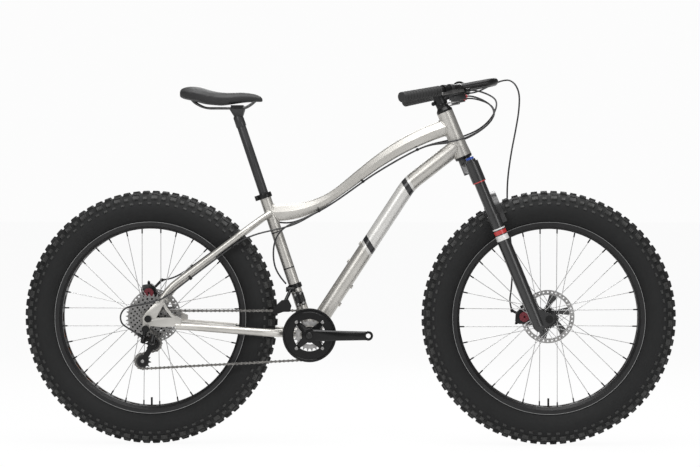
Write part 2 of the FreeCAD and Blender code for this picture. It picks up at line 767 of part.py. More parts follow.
CAGE_START_SHARE = -0.63
start_turn = CAGE_START_SHARE * math.pi
start_path = ChainPath(chain_circles(start_turn))
LINKS = 2 * round(start_path.length / float(d.pitch) / 2)
low_turn, high_turn = start_turn - 0.5, start_turn + 0.5
low_slack = slack(low_turn, LINKS)
for _ in range(30):
    middle_turn = (low_turn + high_turn) / 2
    if (slack(middle_turn, LINKS) > 0) == (low_slack > 0):
        low_turn = middle_turn
    else:
        high_turn = middle_turn
cage_turn = (low_turn + high_turn) / 2
circles = chain_circles(cage_turn)
path = ChainPath(circles)
rollers = [path.at(place) for place in walk(path, LINKS)[:-1]]
tension_x, tension_z = circles[1][0], circles[1][1]
print("chain links", LINKS, "cage turn", round(math.degrees(cage_turn), 2),
      "closing error", round(slack(cage_turn, LINKS), 4))


def link_plate(radius, waist, thick, hole):
    """A waisted chain plate with its two holes, lying along X and centred on the pitch."""
    half = float(d.pitch) / 2
    side = math.sqrt(radius * radius - waist * waist)
    edges = []
    for sign in (1, -1):
        start = Vector(sign * (half - side), -sign * waist, 0)
        end = Vector(sign * (half - side), sign * waist, 0)
        edges.append(Part.Arc(start, Vector(sign * (half + radius), 0, 0), end).toShape())
        edges.append(Part.LineSegment(end, Vector(-sign * (half - side), sign * waist, 0)).toShape())
    plate = Part.Face(Part.Wire(Part.__sortEdges__(edges))).extrude(Vector(0, 0, thick))
    if hole > 0:
        for sign in (1, -1):
            drill = Part.makeCylinder(hole, thick, Vector(sign * half, 0, 0))
            plate = plate.cut(drill)
    return plate


def make_links():
    """An inner link with its rollers and an outer link with its pins."""
    half = float(d.pitch) / 2
    thick, inside = float(d.plate_thick), float(d.inner_width) / 2
    radius, waist = float(d.plate_radius), float(d.plate_waist)
    bore = float(d.pin_radius) + float(d.pin_clear)
    inner = []
    outer = []
    gap = inside + thick + float(d.plate_gap)
    for sign in (1, -1):
        plate = link_plate(radius, waist, thick, bore)
        plate.translate(Vector(0, 0, inside if sign > 0 else -inside - thick))
        inner.append(plate)
        plate = link_plate(radius, waist, thick, 0)
        plate.translate(Vector(0, 0, gap if sign > 0 else -gap - thick))
        outer.append(plate)
        low = Vector(sign * half, 0, -inside)
        roller = Part.makeCylinder(float(d.roller_radius), 2 * inside, low)
        inner.append(roller.cut(Part.makeCylinder(bore, 2 * inside, low)))
        reach = gap + thick + float(d.pin_proud)
        outer.append(Part.makeCylinder(float(d.pin_radius), 2 * reach, Vector(sign * half, 0, -reach)))
    return inner[0].fuse(inner[1:]), outer[0].fuse(outer[1:])


inner_link, outer_link = make_links()
chain_links = []
for index in range(LINKS):
    first, second = rollers[index], rollers[(index + 1) % LINKS]
    forward = (second - first).normalize()
    sideways = Y_AXIS - forward * forward.dot(Y_AXIS)
    turn = Rotation(forward, Vector(0, 0, 0), sideways.normalize(), "XZY")
    link = (inner_link if index % 2 == 0 else outer_link).copy()
    link.Placement = Placement((first + second) * 0.5, turn)
    chain_links.append(link)
keep(shaped("chain_links", Part.Compound(chain_links)), "chain")


def tooth_phase(circle):
    """The angle of a roller that sits on a toothed wheel."""
    x, z, radius, _, y = circle
    on_wheel = [r for r in rollers if abs(math.hypot(r.x - x, r.z - z) - radius) < 1e-3 and abs(r.y - y) < 1e-3]
    return math.atan2(on_wheel[0].z - z, on_wheel[0].x - x)


def toothed_face(teeth, phase, hole):
    """The outline of a sprocket: round seats for the rollers between pointed teeth."""
    radius = pitch_radius(teeth)
    seat = float(d.roller_radius) + float(d.seat_clear)
    step = 2 * math.pi / teeth
    tip = radius + float(d.tooth_height)
    tip_half = float(d.tooth_tip) / 2 / tip
    opening = math.radians(62)
    edges = []
    last = None
    first = None
    for index in range(teeth):
        angle = phase + index * step
        middle = Vector(radius * math.cos(angle), 0, radius * math.sin(angle))

        def on_seat(turn):
            inward = angle + math.pi + turn
            return middle + Vector(seat * math.cos(inward), 0, seat * math.sin(inward))

        def on_tip(turn):
            return Vector(tip * math.cos(turn), 0, tip * math.sin(turn))

        enter, bottom, leave = on_seat(opening), on_seat(0), on_seat(-opening)
        tip_start = on_tip(angle + step / 2 - tip_half)
        tip_end = on_tip(angle + step / 2 + tip_half)
        if last is not None:
            edges.append(Part.LineSegment(last, enter).toShape())
        else:
            first = enter
        edges.append(Part.Arc(enter, bottom, leave).toShape())
        edges.append(Part.LineSegment(leave, tip_start).toShape())
        edges.append(Part.LineSegment(tip_start, tip_end).toShape())
        last = tip_end
    edges.append(Part.LineSegment(last, first).toShape())
    rim = Part.Wire(edges)
    bore = Part.Wire(Part.Circle(Vector(0, 0, 0), Y_AXIS, float(hole)).toShape())
    return Part.Face([rim, bore])


def toothed_wheel(teeth, phase, hole, thick, side):
    """A sprocket centred on the axle with its middle plane at a distance along Y."""
    plate = toothed_face(teeth, phase, hole).extrude(Vector(0, float(thick), 0))
    plate.translate(Vector(0, side - float(thick) / 2, 0))
    return plate


# The cassette: ten cogs, the spacers between them, the freehub body and the lock ring
small_phase = tooth_phase(circles[3])
cogs = []
RELIEF_SHARE = 0.8
for index, teeth in enumerate(COG_TEETH):
    side = cog_y + index * float(d.cog_step)
    cog = toothed_wheel(teeth, small_phase, d.cog_bore, d.cog_thick, side)
    relief = pitch_radius(teeth) - float(d.tooth_height) * 2
    ring_root = float(d.freehub_radius) + float(d.lockring_thick)
    if relief - ring_root > float(d.pitch):
        slots = int(teeth // 4)
        width = RELIEF_SHARE * (relief - ring_root) / 2
        middle_r = (relief + ring_root) / 2
        for slot in range(slots):
            turn = 2 * math.pi * slot / slots
            spot_at = Vector(middle_r * math.cos(turn), side - float(d.cog_thick), middle_r * math.sin(turn))
            hole_radius = min(width, middle_r * math.pi / slots * RELIEF_SHARE)
            cog = cog.cut(Part.makeCylinder(hole_radius, 2 * float(d.cog_thick), spot_at, Y_AXIS))
    cogs.append(cog)
gap_between = float(d.cog_step) - float(d.cog_thick)
for index in range(len(COG_TEETH) - 1):
    low = Vector(0, cog_y + index * float(d.cog_step) + float(d.cog_thick) / 2, 0)
    spacer = Part.makeCylinder(float(d.freehub_radius) + 2 * float(d.plate_thick), gap_between, low, Y_AXIS)
    cogs.append(spacer.cut(Part.makeCylinder(float(d.cog_bore), gap_between, low, Y_AXIS)))
free_low = cog_y - float(d.cog_thick) / 2
free_length = -float(d.freehub_start) - free_low
free_start = Vector(0, free_low, 0)
freehub = Part.makeCylinder(float(d.freehub_radius), free_length, free_start, Y_AXIS)
lockring = Part.makeCylinder(float(d.lockring_radius), float(d.lockring_thick), free_start - Vector(0, float(d.lockring_thick), 0), Y_AXIS)
bore_radius = float(d.hub_axle_radius) + float(d.slip_fit)
bore_low = free_start - Vector(0, float(d.lockring_thick), 0)
bore = Part.makeCylinder(bore_radius, free_length + float(d.lockring_thick), bore_low, Y_AXIS)
cogs.append(freehub.cut(bore))
cogs.append(lockring.cut(bore))
keep(shaped("cassette_stack", Part.Compound(cogs), Placement(rear_axle_spot.Base, Rotation())), "cassette")

# The chain rings, the bash guard, the spider and the crank arms
RING_ARMS = 4
ring_phase = tooth_phase(circles[0])
ring_hole = d.spider_pitch - d.ring_bolt
outer_ring = toothed_wheel(RING_TEETH, ring_phase, ring_hole, d.ring_thick, ring_y)
small_ring_y = ring_y + float(d.ring_step)
inner_ring = toothed_wheel(SMALL_RING_TEETH, ring_phase, d.small_ring_hole, d.ring_thick, small_ring_y)
crank_spot = Placement(Vector(bracket.x, 0, bracket.z), Rotation())
crank_across = Placement(Vector(bracket.x, 0, bracket.z), ACROSS)
ring_pair = Part.Compound([outer_ring, inner_ring])
keep(shaped("ring_pair", ring_pair, crank_spot), "chainrings")

zero = 0 * d.pitch
bash_side = d.ring_outer + d.ring_step
bash = new_body("bash_plate")
add_pad(bash, "bash_ring", d.bash_thick, circles=[(zero, zero, d.bash_radius), (zero, zero, d.bash_inner)])
slot_out, slot_in = d.bash_radius * 0.90, d.bash_radius * 0.74
slot = [(slot_in, -(slot_in * 0.17)), (slot_out, -(slot_out * 0.20)), (slot_out * 1.02, zero),
        (slot_out, slot_out * 0.20), (slot_in, slot_in * 0.17)]
slot_cut = add_pocket(bash, "bash_slot", outlines=[slot])
add_ring_of(bash, slot_cut, 2 * RING_ARMS, "bash_slots")
bash.Placement = crank_across.multiply(spot(0, 0, -bash_side - d.bash_thick / 2))
keep(bash, "bash_guard")

spider_low = bash_side - d.bash_thick / 2
spider_thick = spider_low - d.ring_outer - d.ring_thick / 2
spider = new_body("spider_plate")
add_pad(spider, "spider_hub", spider_thick, circles=[(zero, zero, d.arm_root)])
arm_half = d.spider_arm / 2
arm_end = d.spider_pitch + d.ring_bolt
spider_outline = [(d.arm_root * 0.7, -d.spider_arm), (d.spider_pitch, -arm_half), (arm_end, -(arm_half * 0.6)),
                  (arm_end, arm_half * 0.6), (d.spider_pitch, arm_half), (d.arm_root * 0.7, d.spider_arm)]
spider_arm = add_pad(spider, "spider_arm", spider_thick, outlines=[spider_outline])
add_ring_of(spider, spider_arm, RING_ARMS, "spider_arms")
spider.Placement = crank_across.multiply(Placement(Vector(0, 0, -float(spider_low)), Rotation(Z_AXIS, 45)))


def crank_arm(name):
    """The tapered arm, lying along X from the axle to the pedal eye, thickening from zero outward along Y."""
    sections = []
    for share, height, thick in ((0.0, 2 * d.arm_root * 0.9, d.arm_thick), (0.5, 2 * d.arm_tip * 1.05, d.arm_thick * 0.85),
                                 (1.0, 2 * d.arm_tip * 0.92, d.arm_thick * 0.85)):
        out = float(d.arm_flare) * share
        half, deep = float(height) / 2, float(thick)
        corner_share = 0.3
        trim = deep * corner_share
        x = share * float(d.crank_length)
        rim = [(out, half - trim), (out, trim - half), (out + trim, -half), (out + deep - trim, -half),
               (out + deep, trim - half), (out + deep, half - trim), (out + deep - trim, half), (out + trim, half)]
        sections.append(closed_wire([Vector(x, y, z) for y, z in rim]))
    return shaped(name, Part.makeLoft(sections, True, True))


ARM_BACK = Rotation(Z_AXIS, 180)
crank_arm_right = crank_arm("right_arm_bar")
crank_arm_right.Placement = Placement(Vector(bracket.x, -float(d.crank_inner), bracket.z), Rotation(X_AXIS, 180))
crank_arm_left = crank_arm("left_arm_bar")
turn_left = Rotation(Z_AXIS, 180).multiply(Rotation(X_AXIS, 180))
crank_arm_left.Placement = Placement(Vector(bracket.x, float(d.crank_inner), bracket.z), turn_left)
arm_outside = d.crank_inner + d.arm_thick
tip_thick = d.arm_thick * 0.85
eye_right = Vector(bracket.x + float(d.crank_length), -float(d.crank_inner + d.arm_flare), bracket.z)
eye_left = Vector(bracket.x - float(d.crank_length), float(d.crank_inner + d.arm_flare), bracket.z)
left_boss_start = d.bracket_half + d.cup_width + d.face_gap
right_parts = [
    spider, crank_arm_right,
    cylinder("right_root", d.arm_root, arm_outside - d.ring_outer - d.ring_thick / 2,
             along(bracket.x, -arm_outside, bracket.z, Y_AXIS)),
    cylinder("crank_spindle", d.spindle_radius, arm_outside * 2 - d.arm_thick / 2,
             along(bracket.x, -arm_outside, bracket.z, Y_AXIS)),
    cylinder("right_eye", d.arm_tip, tip_thick, along(eye_right.x, eye_right.y, eye_right.z, -Y_AXIS)),
]
for index in range(RING_ARMS):
    turn = math.radians(45 + 90 * index)
    post = cylinder("ring_post_%d" % index, d.ring_bolt, d.ring_step - d.ring_thick + spider_thick / 2,
                    along(bracket.x + float(d.post_pitch) * math.cos(turn), -(spider_low - spider_thick / 2),
                          bracket.z + float(d.post_pitch) * math.sin(turn), Y_AXIS))
    bind(post, "Height", d.ring_step + spider_thick / 2)
    right_parts.append(post)
right_solid = fuse("right_crank_solid", right_parts)
right_holes = cylinder("right_pedal_hole", d.pedal_hole, tip_thick + 2 * d.cut_over,
                       along(eye_right.x, eye_right.y + float(d.cut_over), eye_right.z, -Y_AXIS))
keep(cut("right_crank_cut", right_solid, right_holes), "drive_crank")
left_solid = fuse("left_crank_solid", [
    crank_arm_left,
    cylinder("left_root", d.arm_root, arm_outside - left_boss_start, along(bracket.x, left_boss_start, bracket.z, Y_AXIS)),
    cylinder("left_eye", d.arm_tip, tip_thick, along(eye_left.x, eye_left.y, eye_left.z, Y_AXIS)),
])
left_holes = fuse("left_crank_holes", [
    cylinder("left_pedal_hole", d.pedal_hole, tip_thick + 2 * d.cut_over,
             along(eye_left.x, eye_left.y - float(d.cut_over), eye_left.z, Y_AXIS)),
    cylinder("left_spindle_hole", d.spindle_radius, arm_outside, along(bracket.x, left_boss_start - d.cut_over, bracket.z, Y_AXIS)),
])
keep(cut("left_crank_cut", left_solid, left_holes), "left_crank")

# The bottom bracket shell and its bearing cups
shell_bore = d.bracket_radius - d.bracket_wall
cup_in = d.bracket_half - d.cup_width * 1.6
cup_bore = d.spindle_radius + d.slip_fit
keep(turned("bracket_shell_ring", [(shell_bore, -d.bracket_half), (d.bracket_radius, -d.bracket_half),
                                   (d.bracket_radius, d.bracket_half), (shell_bore, d.bracket_half)], crank_across),
     "bottom_bracket_shell")
cups = []
for side, turn in (("left", 0), ("right", 180)):
    place = crank_across.multiply(Placement(Vector(0, 0, 0), Rotation(X_AXIS, turn)))
    cups.append(turned(side + "_cup", [
        (cup_bore, cup_in), (shell_bore - d.slip_fit, cup_in), (shell_bore - d.slip_fit, d.bracket_half),
        (d.cup_radius, d.bracket_half), (d.cup_radius, d.bracket_half + d.cup_width * 0.8),
        (d.cup_radius * 0.8, d.bracket_half + d.cup_width), (cup_bore, d.bracket_half + d.cup_width)], place))
keep(group("bracket_cups", cups), "bottom_bracket")

# The head tube, with its cups and cover, and solid cores that trim the tubes that meet it
low_radius = d.head_radius + d.head_flare
head_bore = d.head_radius - d.head_wall
head_skin = [(d.head_radius, d.head_high), (d.head_radius, d.head_high - d.head_flare * 8),
             (low_radius - d.head_flare, d.head_low + d.head_flare * 16), (low_radius, d.head_low)]
keep(turned("head_tube_ring", [(head_bore, d.head_high)] + head_skin + [(head_bore, d.head_low)], steer_frame), "head_tube")
head_foot = d.head_low - d.headset_low - d.cut_over
head_core = turned("head_core", [(zero, d.head_high)] + head_skin + [
    (low_radius + d.face_gap, d.head_low), (low_radius + d.face_gap, head_foot), (zero, head_foot)], steer_frame)
cup_skin = d.slip_fit
low_cup = turned("low_head_cup", [
    (d.race_radius + d.slip_fit, d.head_low - d.headset_low), (low_radius - 1 * d.head_flare, d.head_low - d.headset_low),
    (low_radius, d.head_low - d.headset_low / 2), (low_radius, d.head_low), (head_bore - cup_skin, d.head_low),
    (head_bore - cup_skin, d.head_low + d.headset_low), (d.race_radius + d.slip_fit, d.head_low + d.headset_low)], steer_frame)
high_top = d.head_high + d.headset_high
high_bore = d.steerer_radius + d.slip_fit
high_cup = turned("high_head_cup", [
    (high_bore, d.head_high - d.headset_high), (head_bore - cup_skin, d.head_high - d.headset_high),
    (head_bore - cup_skin, d.head_high), (d.head_radius, d.head_high), (d.head_radius, high_top),
    (d.head_radius * 0.92, high_top + d.headset_cover * 0.3), (d.stem_radius, high_top + d.headset_cover),
    (high_bore, high_top + d.headset_cover)], steer_frame)
keep(group("headset_cups", [low_cup, high_cup]), "headset")

# The seat tube with its collar, and the trimming cores
seat_bore = d.post_radius + d.slip_fit
bracket_core = cylinder("bracket_core", d.bracket_radius, 2 * d.bracket_half, crank_across.multiply(spot(0, 0, -d.bracket_half)))
seat_core = cylinder("seat_core", d.seat_tube_radius, d.seat_tube_length, seat_frame)
seat_ring = turned("seat_tube_ring", [(seat_bore, zero), (d.seat_tube_radius, zero),
                                      (d.seat_tube_radius, d.seat_tube_length), (seat_bore, d.seat_tube_length)], seat_frame)
keep(cut("seat_tube_cut", seat_ring, bracket_core), "seat_tube")
collar_low = d.seat_tube_length - d.collar_height * 0.8
collar_out = d.seat_tube_radius + d.collar_thick
collar_ring = turned("collar_ring", [
    (d.seat_tube_radius, collar_low), (collar_out, collar_low), (collar_out, collar_low + d.collar_height),
    (seat_bore, collar_low + d.collar_height), (seat_bore, d.seat_tube_length), (d.seat_tube_radius, d.seat_tube_length)], seat_frame)
ear_length = d.collar_thick * 3
collar_ear = block("collar_ear", ear_length, d.collar_thick * 3, d.collar_height,
                   seated(spot(-collar_out - ear_length * 0.6, -(d.collar_thick * 1.5), collar_low)))
collar_slit = block("collar_slit", collar_out + ear_length, d.collar_slot, d.collar_height + 2 * d.cut_over,
                    seated(spot(-collar_out - ear_length, -d.collar_slot / 2, collar_low - d.cut_over)))
collar_inside = cylinder("collar_inside", d.seat_tube_radius, d.collar_height, seated(spot(0, 0, collar_low)))
ear_trim = cut("collar_ear_trim", collar_ear, collar_inside)
keep(cut("collar_cut", fuse("collar_solid", [collar_ring, ear_trim]), collar_slit), "seat_collar")

# The top tube: a creased tube that dips behind the head and flattens over the seat tube
TOP_TUBE_SHARES = (
    (0.0, 0.0, 1.0, 0.74), (0.09, 0.008, 0.98, 0.76), (0.185, 0.042, 0.86, 0.78), (0.306, 0.146, 0.62, 0.82),
    (0.427, 0.319, 0.60, 0.86), (0.537, 0.496, 0.70, 0.90), (0.742, 0.775, 0.88, 0.96), (0.948, 0.962, 0.97, 1.0),
    (1.0, 1.0, 1.0, 1.0),
)
seat_tan = math.tan(math.radians(float(d.seat_angle)))
top_back_x = bracket.x - (float(d.top_tube_low) - bracket.z) / seat_tan
top_front_z = float(d.top_tube_low) + float(d.top_tube_rise)
top_front_x = steer_foot.x - (top_front_z - steer_foot.z) * math.tan(lean)


def creased_ring(middle, heading, height, width):
    """A section with a bowed top, a bowed belly and a crease along each side."""
    up = Vector(-math.sin(heading), 0, math.cos(heading))
    def at(side, rise):
        return middle + Y_AXIS * (side * width) + up * (rise * height)
    edges = [
        Part.Arc(at(-0.3, 0.40), at(0, 0.5), at(0.3, 0.40)).toShape(),
        Part.LineSegment(at(0.3, 0.40), at(0.5, 0.04)).toShape(),
        Part.LineSegment(at(0.5, 0.04), at(0.26, -0.40)).toShape(),
        Part.Arc(at(0.26, -0.40), at(0, -0.5), at(-0.26, -0.40)).toShape(),
        Part.LineSegment(at(-0.26, -0.40), at(-0.5, 0.04)).toShape(),
        Part.LineSegment(at(-0.5, 0.04), at(-0.3, 0.40)).toShape(),
    ]
    return Part.Wire(edges)


def top_tube_shape(inset):
    middles = []
    for x_share, z_share, _, _ in TOP_TUBE_SHARES:
        x = top_back_x + x_share * (top_front_x - top_back_x)
        middles.append(Vector(x, 0, float(d.top_tube_low) + z_share * float(d.top_tube_rise)))
    rings = []
    for index, (_, _, tall, wide) in enumerate(TOP_TUBE_SHARES):
        before = middles[max(index - 1, 0)]
        after = middles[min(index + 1, len(middles) - 1)]
        heading = math.atan2(after.z - before.z, after.x - before.x)
        height = tall * float(d.top_tube_height) - 2 * inset
        width = wide * float(d.top_tube_width) - 2 * inset
        rings.append(creased_ring(middles[index], heading, height, width))
    return loft(rings)


top_loft = shaped("top_tube_loft", top_tube_shape(0.0).cut(top_tube_shape(float(d.top_tube_wall))))
keep(cut("top_tube_cut", top_loft, fuse("top_tube_trim", [head_core, seat_core])), "top_tube")

# The down tube with its bottle bosses
down_points = [bracket, Vector(float(d.down_tube_bend_x), 0, float(d.down_tube_bend_z)),
               Vector(float(d.down_tube_end_x), 0, float(d.down_tube_end_z))]
down_wire = route(down_points, d.down_tube_bend_radius)
down_pipe = shaped("down_tube_pipe", tube(down_wire, d.down_tube_radius, d.down_tube_wall))
down_way = (down_points[1] - down_points[0]).normalize()
down_up = Vector(-down_way.z, 0, down_way.x)
BOSS_PLACE_SHARES = ((0.455, 1), (0.225, -1))
boss_bodies = []
boss_drills = []
boss_rows = []
run_length = (down_points[1] - down_points[0]).Length
for share, face in BOSS_PLACE_SHARES:
    for step in (0, 1):
        reach = share * run_length + step * float(d.boss_gap)
        foot = bracket + down_way * reach + down_up * (face * (float(d.down_tube_radius) - float(d.boss_sink)))
        place = along(foot.x, foot.y, foot.z, down_up * face)
        label = "boss_%d_%d" % (step, face + 1)
        boss_bodies.append(cylinder(label, d.boss_radius, d.boss_height + d.boss_sink, place))
        boss_drills.append(cylinder(label + "_drill", d.boss_hole, d.boss_height + d.boss_sink + d.cut_over, place))
        boss_rows.append(foot + down_up * (face * (float(d.boss_height) + float(d.boss_sink))))
down_trim = fuse("down_tube_trim", [head_core, bracket_core, seat_core] + boss_drills)
keep(cut("down_tube_cut", fuse("down_tube_solid", [down_pipe] + boss_bodies), down_trim), "down_tube")
print("boss mouths", [tuple(round(v, 2) for v in row) for row in boss_rows], "axis", tuple(round(v, 5) for v in down_up))

# The dropouts: pierced plates that carry the axle, with the derailleur hanger on the right
DROPOUT_SHARES = ((-0.9, -0.9), (-1.0, 0.2), (-0.45, 1.05), (2.0, 3.75), (3.0, 3.3), (3.6, 2.0), (4.6, 0.8),
                  (6.2, 0.05), (6.2, -1.35), (2.4, -1.5), (0.0, -1.25))
WINDOW_SHARES = ((1.55, 0.25), (2.85, 2.6), (3.2, 1.75), (4.1, 0.6), (4.5, 0.25))
boss_size = d.dropout_boss


def dropout(name, hanger):
    body = new_body(name)
    outline = [(boss_size * x, boss_size * y) for x, y in DROPOUT_SHARES]
    add_pad(body, name + "_plate", d.dropout_thick, outlines=[outline])
    if hanger:
        drop, back, eye = -d.hanger_drop, -d.hanger_back, d.hanger_radius
        tab = [(-(boss_size * 0.9), -(boss_size * 0.5)), (back - eye, drop), (back - eye * 0.6, drop - eye),
               (back + eye * 0.6, drop - eye), (back + eye, drop), (boss_size * 0.7, -(boss_size * 0.5))]
        add_pad(body, name + "_hanger", d.dropout_thick, outlines=[tab])
    window = [(boss_size * x, boss_size * y) for x, y in WINDOW_SHARES]
    holes = [(zero, zero, d.rear_axle_radius + d.slip_fit)]
    add_pocket(body, name + "_window", outlines=[window], circles=holes)
    return body


STAND_UP = Rotation(X_AXIS, 90)
right_dropout = dropout("right_dropout", True)
right_dropout.Placement = Placement(Vector(float(rear_x), -float(d.rear_hub_half), float(d.tire_radius)), STAND_UP)
left_dropout = dropout("left_dropout", False)
left_dropout.Placement = Placement(
    Vector(float(rear_x), float(d.rear_hub_half + d.dropout_thick), float(d.tire_radius)), STAND_UP)
dropouts = group("dropout_pair", [right_dropout, left_dropout])
keep(dropouts, "dropouts")

# The stays: tapered tubes that swing wide round the tire
stay_side = float(d.rear_hub_half)
tire_clear = float(d.casing_width) / 2 + float(d.chainstay_root)
CHAINSTAY_SHARES = ((0.03, 0.35, 0.02), (0.14, 0.47, 0.08), (0.275, 0.79, 0.2), (0.74, 0.98, 0.66), (0.83, 1.02, 0.72))
SEATSTAY_SHARES = ((0.0, 0.13, 1.0), (0.07, 0.30, 0.935), (0.215, 0.735, 0.785), (0.815, 0.985, 0.155), (0.9, 1.035, -0.01))
axle_point = Vector(float(rear_x), 0, float(d.tire_radius))
stay_low_z = float(d.tire_radius) - float(d.dropout_boss) * 0.7
seat_join = seat_frame.multVec(Vector(0, 0, float(d.seat_tube_length) * 0.865))
seat_low_z = float(d.tire_radius) + float(d.dropout_boss) * 3.4


def chainstay_points(side):
    return [Vector(bracket.x + x * (axle_point.x - bracket.x), side * y * stay_side, bracket.z + z * (stay_low_z - bracket.z))
            for x, y, z in CHAINSTAY_SHARES]


def seatstay_points(side):
    return [Vector(seat_join.x + x * (axle_point.x - seat_join.x), side * y * stay_side, seat_low_z + z * (seat_join.z - seat_low_z))
            for x, y, z in SEATSTAY_SHARES]


chain_pair = []
seat_pair = []
for side in (1, -1):
    chain_pair.append(tube(route(chainstay_points(side)), d.chainstay_root, d.stay_wall, d.chainstay_end))
    seat_pair.append(tube(route(seatstay_points(side)), d.seatstay_radius, d.stay_wall))
chainstay_pipes = shaped("chainstay_pipes", Part.Compound(chain_pair))
seatstay_pipes = shaped("seatstay_pipes", Part.Compound(seat_pair))
stay_trim = fuse("chainstay_trim", [bracket_core, right_dropout, left_dropout])
chainstays = cut("chainstay_cut", chainstay_pipes, stay_trim)
seatstays = cut("seatstay_cut", seatstay_pipes, fuse("seatstay_trim", [seat_core, right_dropout, left_dropout]))
keep(group("stay_set", [chainstays, seatstays]), "stays")

# The axles
axle_head = d.rear_axle_radius * 1.7
rear_out = d.rear_hub_half + d.dropout_thick
keep(turned("rear_axle_bar", [
    (zero, -rear_out - d.dropout_thick / 2), (axle_head, -rear_out - d.dropout_thick / 2), (axle_head, -rear_out),
    (d.rear_axle_radius, -rear_out), (d.rear_axle_radius, rear_out), (axle_head, rear_out),
    (axle_head, rear_out + d.dropout_thick / 2), (zero, rear_out + d.dropout_thick / 2)], rear_axle_spot), "rear_axle")

# The fork's upper half: steerer, forged crown and stanchions, drawn in the steering frame
race_high = d.head_low + d.headset_low
taper_high = race_high + d.race_radius * 2
steerer = turned("steerer_bar", [
    (zero, d.crown_low), (d.race_radius, d.crown_low), (d.race_radius, race_high),
    (d.steerer_radius, taper_high), (d.steerer_radius, d.steerer_high), (zero, d.steerer_high)], steer_frame)
CROWN_SHARES = ((-1.0, 0.05, 0.0, 0.9), (-0.55, 0.35, 0.14, 1.05), (-0.2, 0.62, 0.04, 1.22), (0.0, 0.66, 0.0, 1.27),
                (0.2, 0.62, 0.04, 1.22), (0.55, 0.35, 0.14, 1.05), (1.0, 0.05, 0.0, 0.9))
crown_span = float(d.socket_high) - float(d.crown_low)
crown_rings = []
for side, back, rise, tall in CROWN_SHARES:
    y = side * float(d.leg_side)
    rear = float(d.leg_ahead) - float(d.socket_radius) * (0.95 + back * 0.9)
    front = float(d.leg_ahead) + float(d.socket_radius) * (0.95 - back * 0.1)
    low = float(d.crown_low) + rise * crown_span
    high = float(d.crown_low) + tall * crown_span
    trim = float(d.socket_radius) * 0.3
    rim = [(rear + trim, low), (front - trim, low), (front, low + trim), (front, high - trim),
           (front - trim, high), (rear + trim, high), (rear, high - trim), (rear, low + trim)]
    crown_rings.append(closed_wire([Vector(n, y, s) for n, s in rim]))
crown = shaped("crown_forging", Part.makeLoft(crown_rings, True, False), steer_frame)
upper_parts = [steerer, crown]
for side, label in ((1, "left"), (-1, "right")):
    leg_spot = steered(spot(d.leg_ahead, side * d.leg_side, 0))
    upper_parts.append(turned(label + "_stanchion", [
        (d.stanchion_radius - d.stanchion_wall, d.stanchion_low), (d.stanchion_radius, d.stanchion_low),
        (d.stanchion_radius, d.socket_low), (d.socket_radius, d.socket_low), (d.socket_radius, d.socket_high),
        (d.cap_radius, d.socket_high), (d.cap_radius, d.socket_high + d.cap_height),
        (d.stanchion_radius - d.stanchion_wall, d.socket_high + d.cap_height)], leg_spot))
    cap_size = d.cap_radius * 0.8 if side > 0 else d.lever_pin
    upper_parts.append(cylinder(label + "_cap", cap_size, d.cap_height * 1.6,
                                leg_spot.multiply(spot(0, 0, d.socket_high))))
    upper_parts.append(cylinder(label + "_plug", d.stanchion_radius - d.stanchion_wall / 2, d.cap_height,
                                leg_spot.multiply(spot(0, 0, d.socket_high))))
keep(fuse("fork_upper_solid", upper_parts), "fork_upper")
DIAL_GRIPS = 8
dial = new_body("lockout_wheel")
add_pad(dial, "dial_disc", d.cap_height, circles=[(zero, zero, d.cap_radius), (zero, zero, d.lever_pin + d.slip_fit)])
dial_grip = add_pocket(dial, "dial_grip", circles=[(d.cap_radius * 1.04, zero, d.cap_radius * 0.15)])
add_ring_of(dial, dial_grip, DIAL_GRIPS, "dial_grips")
dial.Placement = steered(spot(d.leg_ahead, -d.leg_side, d.socket_high + d.cap_height + d.face_gap))
keep(dial, "lockout_dial")

# The fork's lower half: two legs, the arch in front and the axle eyes
leg_bore = d.stanchion_radius + d.slip_fit
lower_parts = []
lower_holes = []
axle_ahead = d.fork_offset
for side, label in ((1, "left"), (-1, "right")):
    leg_spot = steered(spot(d.leg_ahead, side * d.leg_side, 0))
    lower_parts.append(turned(label + "_leg", [
        (zero, d.leg_low), (d.leg_radius * 0.6, d.leg_low), (d.leg_radius * 0.94, d.leg_low + d.leg_radius * 0.7),
        (d.leg_radius, d.leg_high * 0.5), (d.leg_radius, d.leg_high), (d.leg_radius + d.wiper_proud, d.leg_high),
        (d.leg_radius + d.wiper_proud, d.leg_high + d.wiper_height), (zero, d.leg_high + d.wiper_height)], leg_spot))
    lower_holes.append(cylinder(label + "_leg_bore", leg_bore, d.leg_high, leg_spot.multiply(spot(0, 0, d.leg_bore_low))))
    eye = new_body(label + "_eye_web")
    reach = axle_ahead - d.leg_ahead
    web = [(-(d.leg_radius * 0.6), d.leg_low * 0.7), (-(d.leg_radius * 0.8), d.leg_radius), (d.leg_radius * 0.5, d.leg_radius * 2.6),
           (reach + d.fork_boss * 0.5, d.fork_boss * 1.05), (reach + d.fork_boss * 1.05, d.fork_boss * 0.3),
           (reach + d.fork_boss * 0.8, -(d.fork_boss * 0.7)), (reach, -(d.fork_boss * 1.05)), (zero, d.leg_low * 0.95)]
    web_thick = d.leg_side + d.leg_radius * 0.6 - d.front_hub_half
    add_pad(eye, label + "_eye_pad", web_thick, outlines=[web])
    flat_out = d.front_hub_half + web_thick if side > 0 else -d.front_hub_half
    eye.Placement = steered(Placement(Vector(float(d.leg_ahead), float(flat_out), 0), STAND_UP))
    lower_parts.append(eye)
    relief_low = d.front_hub_half if side < 0 else d.front_hub_half - d.leg_radius
    lower_holes.append(cylinder(label + "_hub_room", d.leg_radius * 1.6, d.leg_radius,
                                steered(along(axle_ahead, side * d.front_hub_half, 0, -Y_AXIS * side))))
    lower_parts.append(cylinder(label + "_dial", d.knob_low_radius, d.cap_height * 1.4,
                                leg_spot.multiply(spot(0, 0, d.leg_low - d.cap_height))))
